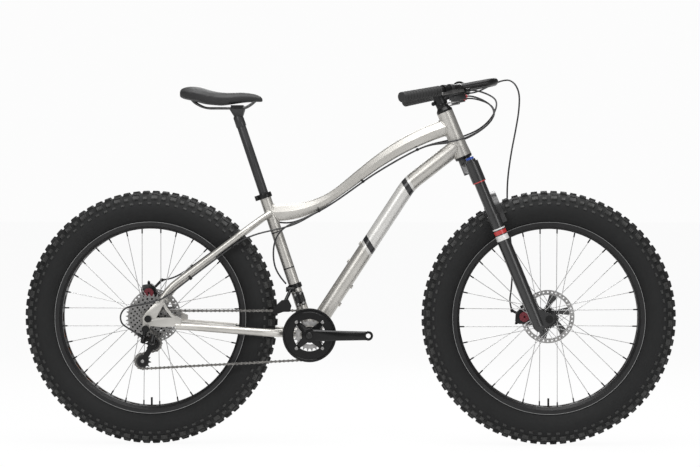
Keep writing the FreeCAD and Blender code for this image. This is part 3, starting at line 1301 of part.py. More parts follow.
ARCH_SHARES = ((1.0, 0.0), (1.0, 0.42), (0.86, 0.74), (0.5, 0.95), (0.0, 1.0))
arch_root = float(d.leg_high) * 0.93
arch_rise = float(d.arch_high) - arch_root
arch_half = [Vector(float(d.arch_ahead), s * float(d.arch_side), arch_root + r * arch_rise) for s, r in ARCH_SHARES]
arch_points = arch_half + [Vector(p.x, -p.y, p.z) for p in reversed(arch_half[:-1])]
arch_wire = route(arch_points)
arch_deep, arch_wall = float(d.arch_depth) / 2, float(d.arch_thick) / 2
arch_ring = closed_wire([arch_points[0] + Vector(n, y, 0) for n, y in
                         ((-arch_deep, -arch_wall), (arch_deep, -arch_wall * 0.6), (arch_deep, arch_wall * 0.6), (-arch_deep, arch_wall))])
arch = shaped("arch_bridge", arch_wire.makePipeShell([arch_ring], True, False), steer_frame)
lower_parts.append(arch)
lower_holes.append(cylinder("fork_axle_hole", d.front_axle_radius, 3 * d.leg_side,
                            steered(along(axle_ahead, -1.5 * d.leg_side, 0, Y_AXIS))))
keep(cut("fork_lowers_cut", fuse("fork_lowers_solid", lower_parts), fuse("fork_lowers_holes", lower_holes)), "fork_lowers")
front_out = d.leg_side + d.leg_radius * 0.6
front_head = d.front_axle_radius * 1.5
keep(turned("front_axle_bar", [
    (zero, -front_out - d.cap_height / 2), (front_head, -front_out - d.cap_height / 2), (front_head, -front_out),
    (d.front_axle_radius, -front_out), (d.front_axle_radius, front_out), (front_head, front_out),
    (front_head, front_out + d.cap_height / 2), (zero, front_out + d.cap_height / 2)], front_axle_spot), "front_axle")

# The stem with its split clamps and the spacer under it
stem_low = d.stem_middle - d.stem_height / 2
stem_high = d.stem_middle + d.stem_height / 2
neck_half = d.stem_neck / 2
neck_rings = []
for share, wide, tall in ((0.0, 0.9, 1.1), (0.5, 0.8, 0.95), (1.0, 1.1, 1.0)):
    n = share * float(d.stem_length)
    half, rise = float(neck_half) * wide, float(neck_half) * tall
    trim = float(neck_half) * 0.35
    rim = [(half - trim, -rise), (half, trim - rise), (half, rise - trim), (half - trim, rise),
           (trim - half, rise), (-half, rise - trim), (-half, trim - rise), (trim - half, -rise)]
    neck_rings.append(closed_wire([Vector(n, y, float(d.stem_middle) + s) for y, s in rim]))
neck = shaped("stem_neck_loft", Part.makeLoft(neck_rings, True, True), steer_frame)
ear_bars = []
for label, share in (("low", -0.3), ("high", 0.3)):
    ear_bars.append(cylinder(label + "_pinch", d.pinch_radius, d.pinch_width, steered(along(
        -d.stem_radius - d.pinch_radius * 0.6, -d.pinch_width / 2, d.stem_middle + share * d.stem_height, Y_AXIS))))
stem_solid = fuse("stem_solid", [
    cylinder("stem_clamp", d.stem_radius, d.stem_height, steered(spot(0, 0, stem_low))), neck,
    cylinder("bar_clamp", d.bar_clamp_radius, d.bar_clamp_width, steered(along(d.stem_length, -d.bar_clamp_width / 2, d.stem_middle, Y_AXIS))),
] + ear_bars)
stem_holes = fuse("stem_holes", [
    cylinder("steerer_hole", d.steerer_radius, d.stem_height + 2 * d.cut_over, steered(spot(0, 0, stem_low - d.cut_over))),
    cylinder("bar_hole", d.bar_bulge, d.bar_clamp_width + 2 * d.cut_over,
             steered(along(d.stem_length, -d.bar_clamp_width / 2 - d.cut_over, d.stem_middle, Y_AXIS))),
    block("stem_slit", d.stem_radius * 2, d.collar_slot, d.stem_height + 2 * d.cut_over,
          steered(spot(-d.stem_radius * 2, -d.collar_slot / 2, stem_low - d.cut_over))),
])
stem_body = cut("stem_cut", stem_solid, stem_holes)
spacer_low = high_top + d.headset_cover + d.face_gap
spacer = turned("stem_spacer", [(d.steerer_radius, spacer_low), (d.stem_radius * 0.95, spacer_low),
                                (d.stem_radius * 0.95, stem_low), (d.steerer_radius, stem_low)], steer_frame)
top_cap = cylinder("stem_top_cap", d.stem_radius * 0.9, d.cap_height / 2,
                   steered(spot(0, 0, d.steerer_high)))
keep(group("stem_set", [stem_body, spacer, top_cap]), "stem")

# The handlebar: a swept bar with a forward loop
bar_end = Vector(-float(d.bar_back), -float(d.bar_half), 0)
bar_corner = Vector(0, -float(d.bar_corner), 0)
bar_points = [bar_end, bar_corner, Vector(bar_corner.x, -bar_corner.y, 0), Vector(bar_end.x, -bar_end.y, 0)]
bar_pipe = pipe(route(bar_points, d.bar_bend), d.bar_radius)
loop_root = Vector(0, -float(d.loop_root), 0)
loop_corner = Vector(float(d.loop_ahead), -float(d.loop_half), 0)
loop_points = [loop_root, loop_corner, Vector(loop_corner.x, -loop_corner.y, 0), Vector(loop_root.x, -loop_root.y, 0)]
loop_pipe = pipe(route(loop_points, d.loop_bend), d.bar_radius)
bar_sweep = shaped("bar_sweep", bar_pipe.fuse(loop_pipe), bar_frame)
bulge = turned("bar_bulge_turning", [
    (zero, -d.bulge_end), (d.bar_radius, -d.bulge_end), (d.bar_bulge, -d.bulge_half), (d.bar_bulge, d.bulge_half),
    (d.bar_radius, d.bulge_end), (zero, d.bulge_end)], bar_frame.multiply(Placement(Vector(0, 0, 0), ACROSS)))
keep(fuse("handlebar_solid", [bar_sweep, bulge]), "handlebar")

grip_way = (bar_corner - bar_end).normalize()
grip_turn = Rotation(Z_AXIS, math.degrees(math.atan2(-grip_way.y, -grip_way.x)))


def control_frame(from_end):
    """On the right grip's axis: X points outward along the grip, Y forward and Z up."""
    return bar_frame.multiply(Placement(bar_end + grip_way * float(from_end), grip_turn))


# The grips: ribbed rubber sleeves with a closed outer end
GRIP_RIBS = 12
grip_bore = d.bar_radius + d.bar_fit
rib_step = d.grip_length / (2 * GRIP_RIBS + 1)
grip_outline = [(zero, -d.grip_cap), (d.grip_radius, -d.grip_cap)]
for index in range(GRIP_RIBS):
    low = rib_step * (2 * index + 1)
    grip_outline += [(d.grip_radius, low), (d.grip_radius - d.grip_rib, low),
                     (d.grip_radius - d.grip_rib, low + rib_step), (d.grip_radius, low + rib_step)]
grip_outline += [(d.grip_radius, d.grip_length), (grip_bore, d.grip_length), (grip_bore, zero), (zero, zero)]
inward = Rotation(Z_AXIS, Vector(-1, 0, 0))
right_grip = turned("right_grip_sleeve", grip_outline, control_frame(0).multiply(Placement(Vector(0, 0, 0), inward)))
keep(group("grip_pair", [right_grip, mirrored("left_grip_sleeve", right_grip)]), "grips")

# The brake perches and levers
perch_frame = control_frame(d.perch_from_end)
ring_along = Rotation(Z_AXIS, X_AXIS)
pivot_x, pivot_y, pivot_z = -d.lever_back, d.lever_ahead, -d.lever_drop
perch_arm = new_body("perch_arm")
hub = d.lever_hub
arm_start = d.perch_radius * 0.75
add_pad(perch_arm, "perch_arm_pad", d.blade_thick * 2.2, outlines=[[
    (d.perch_width / 2, arm_start), (d.perch_width / 2, d.perch_radius), (pivot_x + hub, pivot_y + hub),
    (pivot_x - hub * 1.6, pivot_y + hub), (pivot_x - hub * 2.6, pivot_y - hub * 0.4), (-(d.perch_width / 2), arm_start)]])
perch_arm.Placement = perch_frame.multiply(spot(0, 0, pivot_z - d.blade_thick * 1.1))
perch_room = new_body("perch_room")
add_pad(perch_room, "perch_room_pad", d.blade_thick + 2 * d.face_gap, outlines=[[
    (pivot_x - hub - d.face_gap * 4, pivot_y - hub - d.face_gap * 4), (pivot_x + hub * 4, pivot_y - hub - d.face_gap * 4),
    (pivot_x + hub * 4, pivot_y + hub * 5), (pivot_x - hub - d.face_gap * 4, pivot_y + hub * 5)]])
perch_room.Placement = perch_frame.multiply(spot(0, 0, pivot_z - d.blade_thick / 2 - d.face_gap))
barrel_way = Vector(-1, 0.2, -0.15)
perch_solid = fuse("perch_solid", [
    cylinder("perch_ring", d.perch_radius, d.perch_width, perch_frame.multiply(Placement(
        Vector(-float(d.perch_width) / 2, 0, 0), ring_along))),
    perch_arm,
])
perch_holes = fuse("perch_holes", [perch_room, cylinder("perch_bar_hole", grip_bore, d.perch_width * 4, perch_frame.multiply(
    Placement(Vector(-2 * float(d.perch_width), 0, 0), ring_along)))])
perch_cut = cut("perch_cut", perch_solid, perch_holes)
perch_pin = cylinder("perch_pin", d.lever_pin, d.blade_thick * 2.2, perch_frame.multiply(
    spot(pivot_x, pivot_y, pivot_z - d.blade_thick * 1.1)))
perch_barrel = cylinder("perch_barrel", d.barrel_radius, d.barrel_length, perch_frame.multiply(along(
    pivot_x - hub * 1.5, pivot_y, pivot_z, barrel_way)))
right_perch = fuse("right_perch", [perch_cut, perch_pin, perch_barrel])
keep(group("perch_pair", [right_perch, mirrored("left_perch", right_perch)]), "brake_perches")

BLADE_OUTER_SHARES = ((0.0, 0.6), (0.12, 0.75), (0.3, 0.95), (0.6, 0.98), (0.85, 1.08), (1.0, 1.5))
BLADE_INNER_SHARES = ((1.02, 1.15), (0.88, 0.72), (0.62, 0.6), (0.32, 0.5), (0.15, 0.05), (0.02, -0.5))
blade = new_body("blade_body")
blade_wide = d.lever_hub * 2
blade_outline = [(d.blade_length * x, blade_wide * y) for x, y in BLADE_OUTER_SHARES + BLADE_INNER_SHARES]
add_pad(blade, "blade_pad", d.blade_thick, outlines=[blade_outline])
add_pad(blade, "blade_hub", d.blade_thick, circles=[(zero, zero, d.lever_hub)])
add_pocket(blade, "blade_hole", circles=[(zero, zero, d.lever_pin + d.slip_fit)])
blade.Placement = perch_frame.multiply(spot(pivot_x, pivot_y, pivot_z - d.blade_thick / 2))
keep(blade, "right_brake_lever")
keep(mirrored("left_blade", blade), "left_brake_lever")

# The shifter pods and their thumb levers
pod_frame = control_frame(d.pod_from_end)
pod_shell = new_body("pod_shell")
pod_long, pod_deep = d.pod_long, d.pod_deep
add_pad(pod_shell, "pod_pad", d.pod_thick, outlines=[[
    (pod_long * 0.35, -(pod_deep * 0.3)), (pod_long * 0.45, pod_deep * 0.1), (pod_long * 0.25, pod_deep * 0.5),
    (-(pod_long * 0.3), pod_deep * 0.55), (-(pod_long * 0.55), pod_deep * 0.25), (-(pod_long * 0.45), -(pod_deep * 0.35)),
    (-(pod_long * 0.1), -(pod_deep * 0.5))]])
pod_drop = d.bar_radius + d.pod_gap + d.pod_thick
pod_shell.Placement = pod_frame.multiply(spot(-d.pod_width, d.pod_deep * 0.3, -pod_drop))
pod_ring = cylinder("pod_ring", d.perch_radius * 0.95, d.pod_width, pod_frame.multiply(Placement(
    Vector(-float(d.pod_width) / 2, 0, 0), ring_along)))
pod_foot = block("pod_foot", d.pod_width, d.pod_width, d.perch_radius + d.pod_gap, pod_frame.multiply(
    spot(-d.pod_width / 2, -d.pod_width / 2, -d.perch_radius - d.pod_gap)))
pod_post = cylinder("pod_post", d.lever_pin, d.blade_thick, pod_frame.multiply(spot(
    -d.pod_width, d.pod_deep * 0.3, -pod_drop - d.blade_thick / 2 - 2 * d.face_gap)))
pod_hole = cylinder("pod_bar_hole", grip_bore, d.pod_width * 3, pod_frame.multiply(Placement(
    Vector(-1.5 * float(d.pod_width), 0, 0), ring_along)))
pod_mouth = pod_frame.multiply(Placement(
    Vector(-float(d.pod_width + pod_long * 0.5), float(pod_deep) * 0.4, float(d.pod_thick / 2 - pod_drop)),
    Rotation(Z_AXIS, -X_AXIS)))
pod_barrel = cylinder("pod_barrel", d.barrel_radius * 0.8, d.barrel_length / 2, pod_mouth)
pod_parts = [pod_ring, pod_foot, pod_shell, pod_post, pod_barrel]
right_pod = cut("right_pod", fuse("right_pod_solid", pod_parts), pod_hole)
keep(group("pod_pair", [right_pod, mirrored("left_pod", right_pod)]), "shifter_pods")
thumb = new_body("thumb_body")
add_pad(thumb, "thumb_pad", d.blade_thick / 2, outlines=[[
    (zero, -hub), (d.thumb_length * 0.4, -(hub * 0.8)), (d.thumb_length * 0.85, -(hub * 1.6)), (d.thumb_length, -hub * 2.4),
    (d.thumb_length * 1.1, -(hub * 1.2)), (d.thumb_length * 0.9, -(hub * 0.2)), (d.thumb_length * 0.4, hub * 0.7), (zero, hub)]])
add_pad(thumb, "thumb_hub", d.blade_thick / 2, circles=[(zero, zero, hub)])
add_pocket(thumb, "thumb_hole", circles=[(zero, zero, d.lever_pin + d.slip_fit)])
thumb.Placement = pod_frame.multiply(spot(-d.pod_width, d.pod_deep * 0.3, -pod_drop - d.face_gap - d.blade_thick / 2))
keep(thumb, "right_shift_lever")
keep(mirrored("left_thumb", thumb), "left_shift_lever")

# The seat post, the clamp, the rails and the saddle
post_low = d.seat_tube_length - d.post_inset
post_inner = d.post_radius - d.post_wall
post_bar = turned("post_bar", [(post_inner, post_low), (d.post_radius, post_low), (d.post_radius, d.post_top),
                               (zero, d.post_top), (zero, d.post_top - d.clamp_height), (post_inner, d.post_top - d.clamp_height)], seat_frame)
post_head = seat_frame.multVec(Vector(0, 0, float(d.post_top)))
rail_z = float(d.saddle_top) - float(d.rail_low)
head_rise = rail_z - post_head.z + float(d.post_radius)
cradle = block("post_cradle", d.clamp_width, 2 * d.clamp_half_width, head_rise,
               spot(post_head.x - float(d.clamp_width) / 2, -d.clamp_half_width, post_head.z - float(d.post_radius)))
bind(cradle, "Height", d.saddle_top - d.rail_low - (post_head.z - float(d.post_radius)) - d.face_gap / 2)
RAIL_SHARES = ((0.10, 1.75, 0.75), (0.17, 1.5, 0.30), (0.30, 1.0, 0.0), (0.78, 1.0, 0.0), (0.86, 0.75, 0.2), (0.93, 0.4, 0.48))


def rail_points(side):
    rear, length = float(d.saddle_rear_x), float(d.saddle_length)
    return [Vector(rear + x * length, side * y * float(d.rail_half), rail_z + z * float(d.rail_low)) for x, y, z in RAIL_SHARES]


SADDLE_SHARES = ((0.0, 0.42, 0.0, 0.55), (0.05, 0.80, 0.45, 0.8), (0.18, 1.0, 0.5, 1.0), (0.38, 0.80, -0.45, 0.95), (0.58, 0.46, -0.9, 0.75),
                 (0.78, 0.31, -0.8, 0.62), (0.93, 0.27, -1.0, 0.5), (1.0, 0.15, -1.7, 0.28))


def saddle_ring(x_share, wide, rise, deep):
    """A saddle section: a bowed top over skirts that draw in below."""
    x = float(d.saddle_rear_x) + x_share * float(d.saddle_length)
    half = wide * float(d.saddle_width) / 2
    top = float(d.saddle_top) + rise * float(d.saddle_crown)
    depth = deep * float(d.saddle_skirt)
    shoulder = top - depth * 0.42
    left, right = Vector(x, half, shoulder), Vector(x, -half, shoulder)
    hem_left, hem_right = Vector(x, half * 0.86, top - depth), Vector(x, -half * 0.86, top - depth)
    edges = [Part.Arc(left, Vector(x, 0, top), right).toShape(), Part.LineSegment(right, hem_right).toShape(),
             Part.LineSegment(hem_right, hem_left).toShape(), Part.LineSegment(hem_left, left).toShape()]
    return Part.Wire(edges)


saddle = shaped("saddle_cushion", loft([saddle_ring(*row) for row in SADDLE_SHARES]))
keep(saddle, "saddle")
rail_wires = [route(rail_points(side)) for side in (1, -1)]
rail_pair = shaped("rail_pair", Part.Compound([pipe(wire, d.rail_radius) for wire in rail_wires]))
keep(cut("rail_cut", rail_pair, saddle), "saddle_rails")
rail_room = shaped("rail_room", Part.Compound([pipe(wire, d.rail_radius + d.slip_fit) for wire in rail_wires]))
keep(cut("post_cut", fuse("post_solid", [post_bar, cradle]), rail_room), "seatpost")
clamp_plate = block("clamp_plate", d.clamp_width * 0.9, 2 * d.clamp_half_width, d.clamp_height,
                    spot(post_head.x - float(d.clamp_width) * 0.45, -d.clamp_half_width, rail_z + float(d.face_gap) / 2))
keep(cut("clamp_cut", clamp_plate, rail_room), "saddle_clamp")

# The disc brakes: calipers that straddle the rotors, pad knobs inside and pulled arms outside
CALIPER_SHARES = ((0.70, -0.20), (0.80, -0.27), (1.05, -0.27), (1.20, -0.15), (1.22, 0.18), (1.08, 0.27),
                  (0.80, 0.27), (0.70, 0.20))
ARM_TAPER_SHARE = 0.6
KNOB_GRIPS = 10
PAD_SHARE = 0.88


class Brake:
    """One brake drawn about its axle in a frame whose Y runs along the axle."""

    def __init__(self, end, frame, centre, rotor_face, pad_turn, arm_turn):
        self.end = end
        self.frame = frame
        self.centre = centre
        self.middle = rotor_face + d.rotor_thick / 2
        self.outer = self.middle + d.caliper_thick
        self.inner = self.middle - d.caliper_thick
        self.pad_turn = pad_turn
        self.arm_turn = arm_turn
        reach = PAD_SHARE * float(d.rotor_radius)
        angle = math.radians(pad_turn)
        self.pad = Vector(centre.x + reach * math.cos(angle), 0, centre.z + reach * math.sin(angle))

    def at(self, point, y):
        """A placement at a point of the wheel's plane, Z pointing to the bike's right."""
        return self.frame.multiply(Placement(Vector(point.x, float(y), point.z), STAND_UP))

    def left_of(self, point, y):
        """A placement at a point of the wheel's plane, Z pointing to the bike's left."""
        return self.frame.multiply(along(point.x, y, point.z, Y_AXIS))

    def body(self, lugs, tools):
        block_body = new_body(self.end + "_caliper_block")
        outline = [(d.rotor_radius * u, d.rotor_radius * v) for u, v in CALIPER_SHARES]
        add_pad(block_body, self.end + "_caliper_pad", 2 * d.caliper_thick, outlines=[outline])
        turn = Placement(Vector(0, 0, 0), Rotation(Z_AXIS, self.pad_turn))
        block_body.Placement = self.at(self.centre, self.outer).multiply(turn)
        pin_length = d.brake_arm_thick + 5 * d.face_gap
        outer_pin = cylinder(self.end + "_arm_pin", d.lever_pin, pin_length, self.left_of(self.pad, self.outer))
        inner_pin = cylinder(self.end + "_knob_pin", d.lever_pin, d.knob_thick / 2,
                             self.left_of(self.pad, self.inner - d.knob_thick / 2))
        slot = cylinder(self.end + "_rotor_slot", d.rotor_radius + 4 * d.face_gap, d.caliper_slot,
                        self.left_of(self.centre, self.middle - d.caliper_slot / 2))
        solid = fuse(self.end + "_caliper_solid", [block_body, outer_pin, inner_pin] + lugs)
        room = fuse(self.end + "_caliper_room", [slot] + tools) if tools else slot
        return keep(cut(self.end + "_caliper_cut", solid, room), self.end + "_caliper")

    def knob(self):
        knob = new_body(self.end + "_knob_wheel")
        hole = d.lever_pin + d.slip_fit
        add_pad(knob, self.end + "_knob_disc", d.knob_thick, circles=[(zero, zero, d.knob_radius), (zero, zero, hole)])
        grip = add_pocket(knob, self.end + "_knob_grip", circles=[(d.knob_radius * 1.04, zero, d.knob_radius * 0.13)])
        add_ring_of(knob, grip, KNOB_GRIPS, self.end + "_knob_grips")
        knob.Placement = self.at(self.pad, self.inner - d.face_gap)
        return keep(knob, self.end + "_pad_knob")

    def arm(self):
        arm = new_body(self.end + "_arm_plate")
        hub, reach = d.lever_hub, d.brake_arm_reach
        tip = hub * ARM_TAPER_SHARE
        outline = [(zero, -hub), (reach, -tip), (reach + tip, zero), (reach, tip), (zero, hub)]
        add_pad(arm, self.end + "_arm_bar", d.brake_arm_thick, outlines=[outline])
        add_pad(arm, self.end + "_arm_hub", d.brake_arm_thick, circles=[(zero, zero, hub)])
        add_pocket(arm, self.end + "_arm_hole", circles=[(zero, zero, d.lever_pin + d.slip_fit)])
        turn = Placement(Vector(0, 0, 0), Rotation(Z_AXIS, self.arm_turn))
        arm.Placement = self.at(self.pad, self.outer + 3 * d.face_gap + d.brake_arm_thick).multiply(turn)
        return keep(arm, self.end + "_brake_arm")

    def arm_tip(self):
        angle = math.radians(self.arm_turn)
        reach = float(d.brake_arm_reach)
        return Vector(self.pad.x + reach * math.cos(angle), self.arm_middle(), self.pad.z + reach * math.sin(angle))

    def arm_middle(self):
        return float(self.outer + 3 * d.face_gap + d.brake_arm_thick / 2)

    def stop(self, way):
        """The cable stop: a short barrel held off the caliper, in line with the arm's tip."""
        middle = self.arm_tip() + way * float(d.stop_reach)
        half = way * (float(d.barrel_length) / 4)
        barrel = rod(middle - half, middle + half, d.barrel_radius)
        root = Vector(self.pad.x, float(self.outer) - float(d.barrel_radius), self.pad.z)
        root = root + (Vector(middle.x, root.y, middle.z) - root) * 0.5
        strut = rod(root, middle, d.barrel_radius * 0.8)
        self.cable_way = self.frame.Rotation.multVec(way)
        self.cable_end = self.frame.multVec(middle + half + way * float(d.face_gap))
        return shaped(self.end + "_cable_stop", barrel.fuse(strut), self.frame)


front_brake = Brake("front", steer_frame, Vector(float(d.fork_offset), 0, 0), front_boss, 157.4, 199.0)
lug_deep = d.caliper_thick - d.caliper_slot
front_lug = block("front_caliper_lug", d.leg_radius, lug_deep, d.leg_radius * 3.2, steered(spot(
    -d.leg_radius * 0.75, front_brake.outer - lug_deep, zero)))
front_brake.body([front_lug, front_brake.stop(Vector(0.1, 0, 1).normalize())], [lower_parts[0]])
front_brake.knob()
front_brake.arm()
rear_brake = Brake("rear", Placement(), axle_point, rear_boss, 102.6, 97.0)
bridge = new_body("rear_caliper_bridge")
BRIDGE_SHARES = ((0.0, 1.3), (0.6, 1.6), (1.7, 2.9), (1.2, 4.2), (-1.2, 5.6), (-2.1, 5.4), (-1.9, 3.9))
bridge_outline = [(boss_size * x, boss_size * y) for x, y in BRIDGE_SHARES]
bridge_thick = d.rear_hub_half - rear_brake.middle - d.caliper_slot * 2
add_pad(bridge, "rear_bridge_pad", bridge_thick, outlines=[bridge_outline])
bridge.Placement = rear_brake.at(axle_point, d.rear_hub_half)
rear_brake.body([bridge, rear_brake.stop(Vector(1, 0, 0.12).normalize())], [])
rear_brake.knob()
rear_brake.arm()

# The rear derailleur: a knuckle on the hanger, a slanted link, the lower knuckle and the pulley cage
SLANT_SHARES = (0.25, 0.8, -0.55)
REACH_SHARES = (0.954, -0.298, 0.0)
UPPER_PIN_SHARES = (-0.16, -0.23, -0.76)
hanger_y = -float(d.rear_hub_half + d.dropout_thick)
hanger_point = Vector(float(rear_x - d.hanger_back), hanger_y, float(d.tire_radius - d.hanger_drop))
slant_way = Vector(*SLANT_SHARES).normalize()
reach_way = Vector(*REACH_SHARES)
reach_way = (reach_way - slant_way * reach_way.dot(slant_way)).normalize()
pin_way = reach_way.cross(slant_way)
swing = math.radians(float(d.link_swing))
link_way = reach_way * math.cos(swing) - slant_way * math.sin(swing)
upper_pin = hanger_point + Vector(*UPPER_PIN_SHARES) * float(d.link_reach)
lower_pin = upper_pin + link_way * float(d.link_reach)
eye_half = float(d.link_thick) * 1.4
eye_radius = float(d.lever_hub) * 1.1
pin_radius = float(d.lever_pin)
gap = float(d.face_gap)
boss_long = float(d.link_thick) * 2.2
knuckle_radius = float(d.hanger_radius)
outward = Vector(0, -1, 0)
bolt_long = float(d.dropout_thick) * 1.5
upper_boss = upper_pin + pin_way * (eye_half + gap)
hanger_parts = [
    rod(hanger_point, hanger_point + outward * bolt_long, knuckle_radius),
    rod(hanger_point, hanger_point + outward * (bolt_long * 1.2), knuckle_radius * 0.6),
    rod(upper_boss, upper_boss + pin_way * boss_long, eye_radius * 1.1),
    rod(upper_boss + pin_way * (boss_long * 0.75), hanger_point + outward * (bolt_long * 0.75), eye_radius * 0.9),
    rod(upper_pin - pin_way * (eye_half + gap), upper_boss + pin_way * boss_long, pin_radius),
]
shift_stop = Vector(-0.8, -0.2, 0.55).normalize()
shift_seat = upper_boss + pin_way * (boss_long / 2)
shift_end = shift_seat + shift_stop * (float(d.barrel_length) * 1.1)
shift_exit = shift_end + shift_stop * (2 * gap)
hanger_parts.append(rod(shift_seat, shift_end, d.barrel_radius * 0.9))
keep(shaped("derailleur_hanger_knuckle", hanger_parts[0].fuse(hanger_parts[1:]).removeSplitter()), "rear_derailleur_body")

side_way = pin_way.cross(link_way)
link_bar = Part.makeBox(float(d.link_reach), float(d.link_thick) * 2, 2 * eye_half * 0.8)
link_bar.Placement = Placement(
    upper_pin - side_way * float(d.link_thick) - pin_way * (eye_half * 0.8), Rotation(link_way, side_way, pin_way, "ZXY"))
link_eyes = [rod(pin - pin_way * eye_half, pin + pin_way * eye_half, eye_radius) for pin in (upper_pin, lower_pin)]
link_holes = [rod(pin - pin_way * (eye_half + gap), pin + pin_way * (eye_half + gap), pin_radius + float(d.slip_fit))
              for pin in (upper_pin, lower_pin)]
keep(shaped("derailleur_link_bar", link_bar.fuse(link_eyes).cut(Part.Compound(link_holes))), "rear_derailleur_links")

guide_axis = Vector(float(d.guide_x), cog_y, float(d.guide_z))
tension_axis = Vector(tension_x, cog_y, tension_z)
plate_out = float(d.cage_gap) + float(d.cage_plate)
knuckle_start = guide_axis + outward * (plate_out + gap)
knuckle_long = float(d.cage_reach) * 0.42
lower_boss = lower_pin - pin_way * (eye_half + gap)
knuckle_end = knuckle_start + outward * knuckle_long
stub_long = knuckle_long * 0.5
knuckle_parts = [
    rod(knuckle_start, knuckle_end, knuckle_radius),
    rod(lower_boss - pin_way * (boss_long * 1.4), lower_boss, eye_radius * 1.1),
    rod(lower_boss - pin_way * (boss_long * 1.05), knuckle_end - outward * (knuckle_radius * 0.6), eye_radius * 0.95),
    rod(lower_boss - pin_way * boss_long, lower_pin + pin_way * (eye_half + gap), pin_radius),
]
stub_radius = float(d.pulley_hub) * 1.4
knuckle_bore = rod(knuckle_start, knuckle_start + outward * (stub_long + gap), stub_radius + float(d.slip_fit))
knuckle_solid = knuckle_parts[0].fuse(knuckle_parts[1:]).cut(knuckle_bore)
keep(shaped("derailleur_lower_knuckle", knuckle_solid), "rear_derailleur_knuckle")

cage_way = (tension_axis - guide_axis).normalize()
cage_side = cage_way.cross(Y_AXIS)
CAGE_GUIDE_SHARE = 0.23
CAGE_WAIST_SHARE = 0.13


def cage_plate(near, thick):
    """One side plate of the cage from the guide pulley's axle to the tension pulley's."""
    shift = Vector(0, near, 0)
    eye = float(d.cage_reach) * CAGE_GUIDE_SHARE
    waist = float(d.cage_reach) * CAGE_WAIST_SHARE
    discs = [rod(axis + shift, axis + shift + Vector(0, thick, 0), eye) for axis in (guide_axis, tension_axis)]
    corners = [guide_axis + cage_side * waist, tension_axis + cage_side * waist,
               tension_axis - cage_side * waist, guide_axis - cage_side * waist]
    web = Part.Face(closed_wire([corner + shift for corner in corners])).extrude(Vector(0, thick, 0))
    return web.fuse(discs).removeSplitter()


plate_thick = float(d.cage_plate)
cage_parts = [cage_plate(-plate_out, plate_thick), cage_plate(float(d.cage_gap), plate_thick)]
for axis in (guide_axis, tension_axis):
    cage_parts.append(rod(axis - Y_AXIS * plate_out, axis + Y_AXIS * plate_out, float(d.pulley_hub)))
cage_parts.append(rod(guide_axis - Y_AXIS * plate_out, guide_axis - Y_AXIS * (plate_out + stub_long), stub_radius))
keep(shaped("derailleur_cage_frame", cage_parts[0].fuse(cage_parts[1:])), "rear_derailleur_cage")
for label, circle, axis in (("tension_pulley", circles[1], tension_axis), ("guide_pulley", circles[2], guide_axis)):
    wheel = toothed_wheel(PULLEY_TEETH, tooth_phase(circle), d.pulley_hub + d.slip_fit, d.pulley_thick, 0)
    keep(shaped(label + "_disc", Part.Compound([wheel]), Placement(axis, Rotation())), label)

# The front derailleur: a band on the seat tube and a cage that swings over the chain
FD_PIVOT_SHARES = (-0.6, -2.15, -0.5)
FD_CAGE_SHARES = ((-0.80, 0.955), (-0.74, 1.19), (-0.86, 1.44), (-1.14, 1.42), (-1.40, 1.18), (-1.52, 0.90), (-1.38, 0.84),
                  (-1.06, 0.95))
band_spot = seated(spot(0, 0, d.fd_clamp_along))
band_out = d.seat_tube_radius + d.fd_band
band_half = d.fd_height / 2
band = turned("fd_band_ring", [(d.seat_tube_radius, -band_half), (band_out, -band_half), (band_out, band_half),
                               (d.seat_tube_radius, band_half)], band_spot)
fd_pivot = band_spot.Base + Vector(*FD_PIVOT_SHARES) * float(d.seat_tube_radius)
fd_half = float(d.fd_height)
ear_thick = float(d.fd_band)
fd_reach = -fd_pivot.y - float(band_out) * 0.7
fd_block = block("fd_block", 2 * d.fd_height, fd_reach - float(d.lever_hub) - gap, d.fd_height, Placement())
fd_block.Placement = spot(fd_pivot.x - fd_half, fd_pivot.y + float(d.lever_hub) + gap, fd_pivot.z - float(band_half))
fd_parts = [band, fd_block]
for label, side in (("rear", -1), ("front", 1)):
    near = fd_pivot.x + side * fd_half - (ear_thick if side > 0 else 0.0)
    fd_parts.append(block(label + "_fd_ear", d.fd_band, 2 * d.lever_hub + 4 * d.face_gap, d.fd_height, spot(
        near, fd_pivot.y - float(d.lever_hub), fd_pivot.z - float(band_half))))
fd_parts.append(cylinder("fd_pin", d.lever_pin, 2 * d.fd_height, along(fd_pivot.x - fd_half, fd_pivot.y, fd_pivot.z, X_AXIS)))
seat_hole = cylinder("fd_seat_hole", d.seat_tube_radius, d.seat_tube_length, seat_frame)
keep(cut("fd_body_cut", fuse("fd_body_solid", fd_parts), seat_hole), "front_derailleur_body")

fd_plates = []
ring_reach = pitch_radius(RING_TEETH)
for near in (float(d.fd_inner), float(d.fd_outer)):
    corners = [Vector(bracket.x + x * ring_reach, -near, bracket.z + z * ring_reach) for x, z in FD_CAGE_SHARES]
    fd_plates.append(Part.Face(closed_wire(corners)).extrude(Vector(0, -float(d.cage_plate), 0)))
top_row = [Vector(bracket.x + x * ring_reach, -float(d.fd_inner), bracket.z + z * ring_reach) for x, z in FD_CAGE_SHARES[2:4]]
tie = Part.makeBox(abs(top_row[1].x - top_row[0].x) * 0.8, float(d.fd_outer - d.fd_inner), float(d.cage_plate))
tie.translate(Vector(top_row[1].x + float(d.cage_plate), -float(d.fd_outer), top_row[1].z - 2 * float(d.cage_plate)))
hub_half = fd_half - ear_thick - gap
hub_start = fd_pivot - X_AXIS * hub_half
cage_top = Vector((top_row[0].x + top_row[1].x) / 2, -float(d.fd_inner) + float(d.lever_pin), top_row[1].z - float(d.cage_plate) * 2)
fd_arm = rod(fd_pivot, cage_top + outward * float(d.cage_plate), float(d.lever_hub) * 0.8)
fd_swing = fd_plates[0].fuse([fd_plates[1], tie, rod(hub_start, fd_pivot + X_AXIS * hub_half, d.lever_hub), fd_arm])
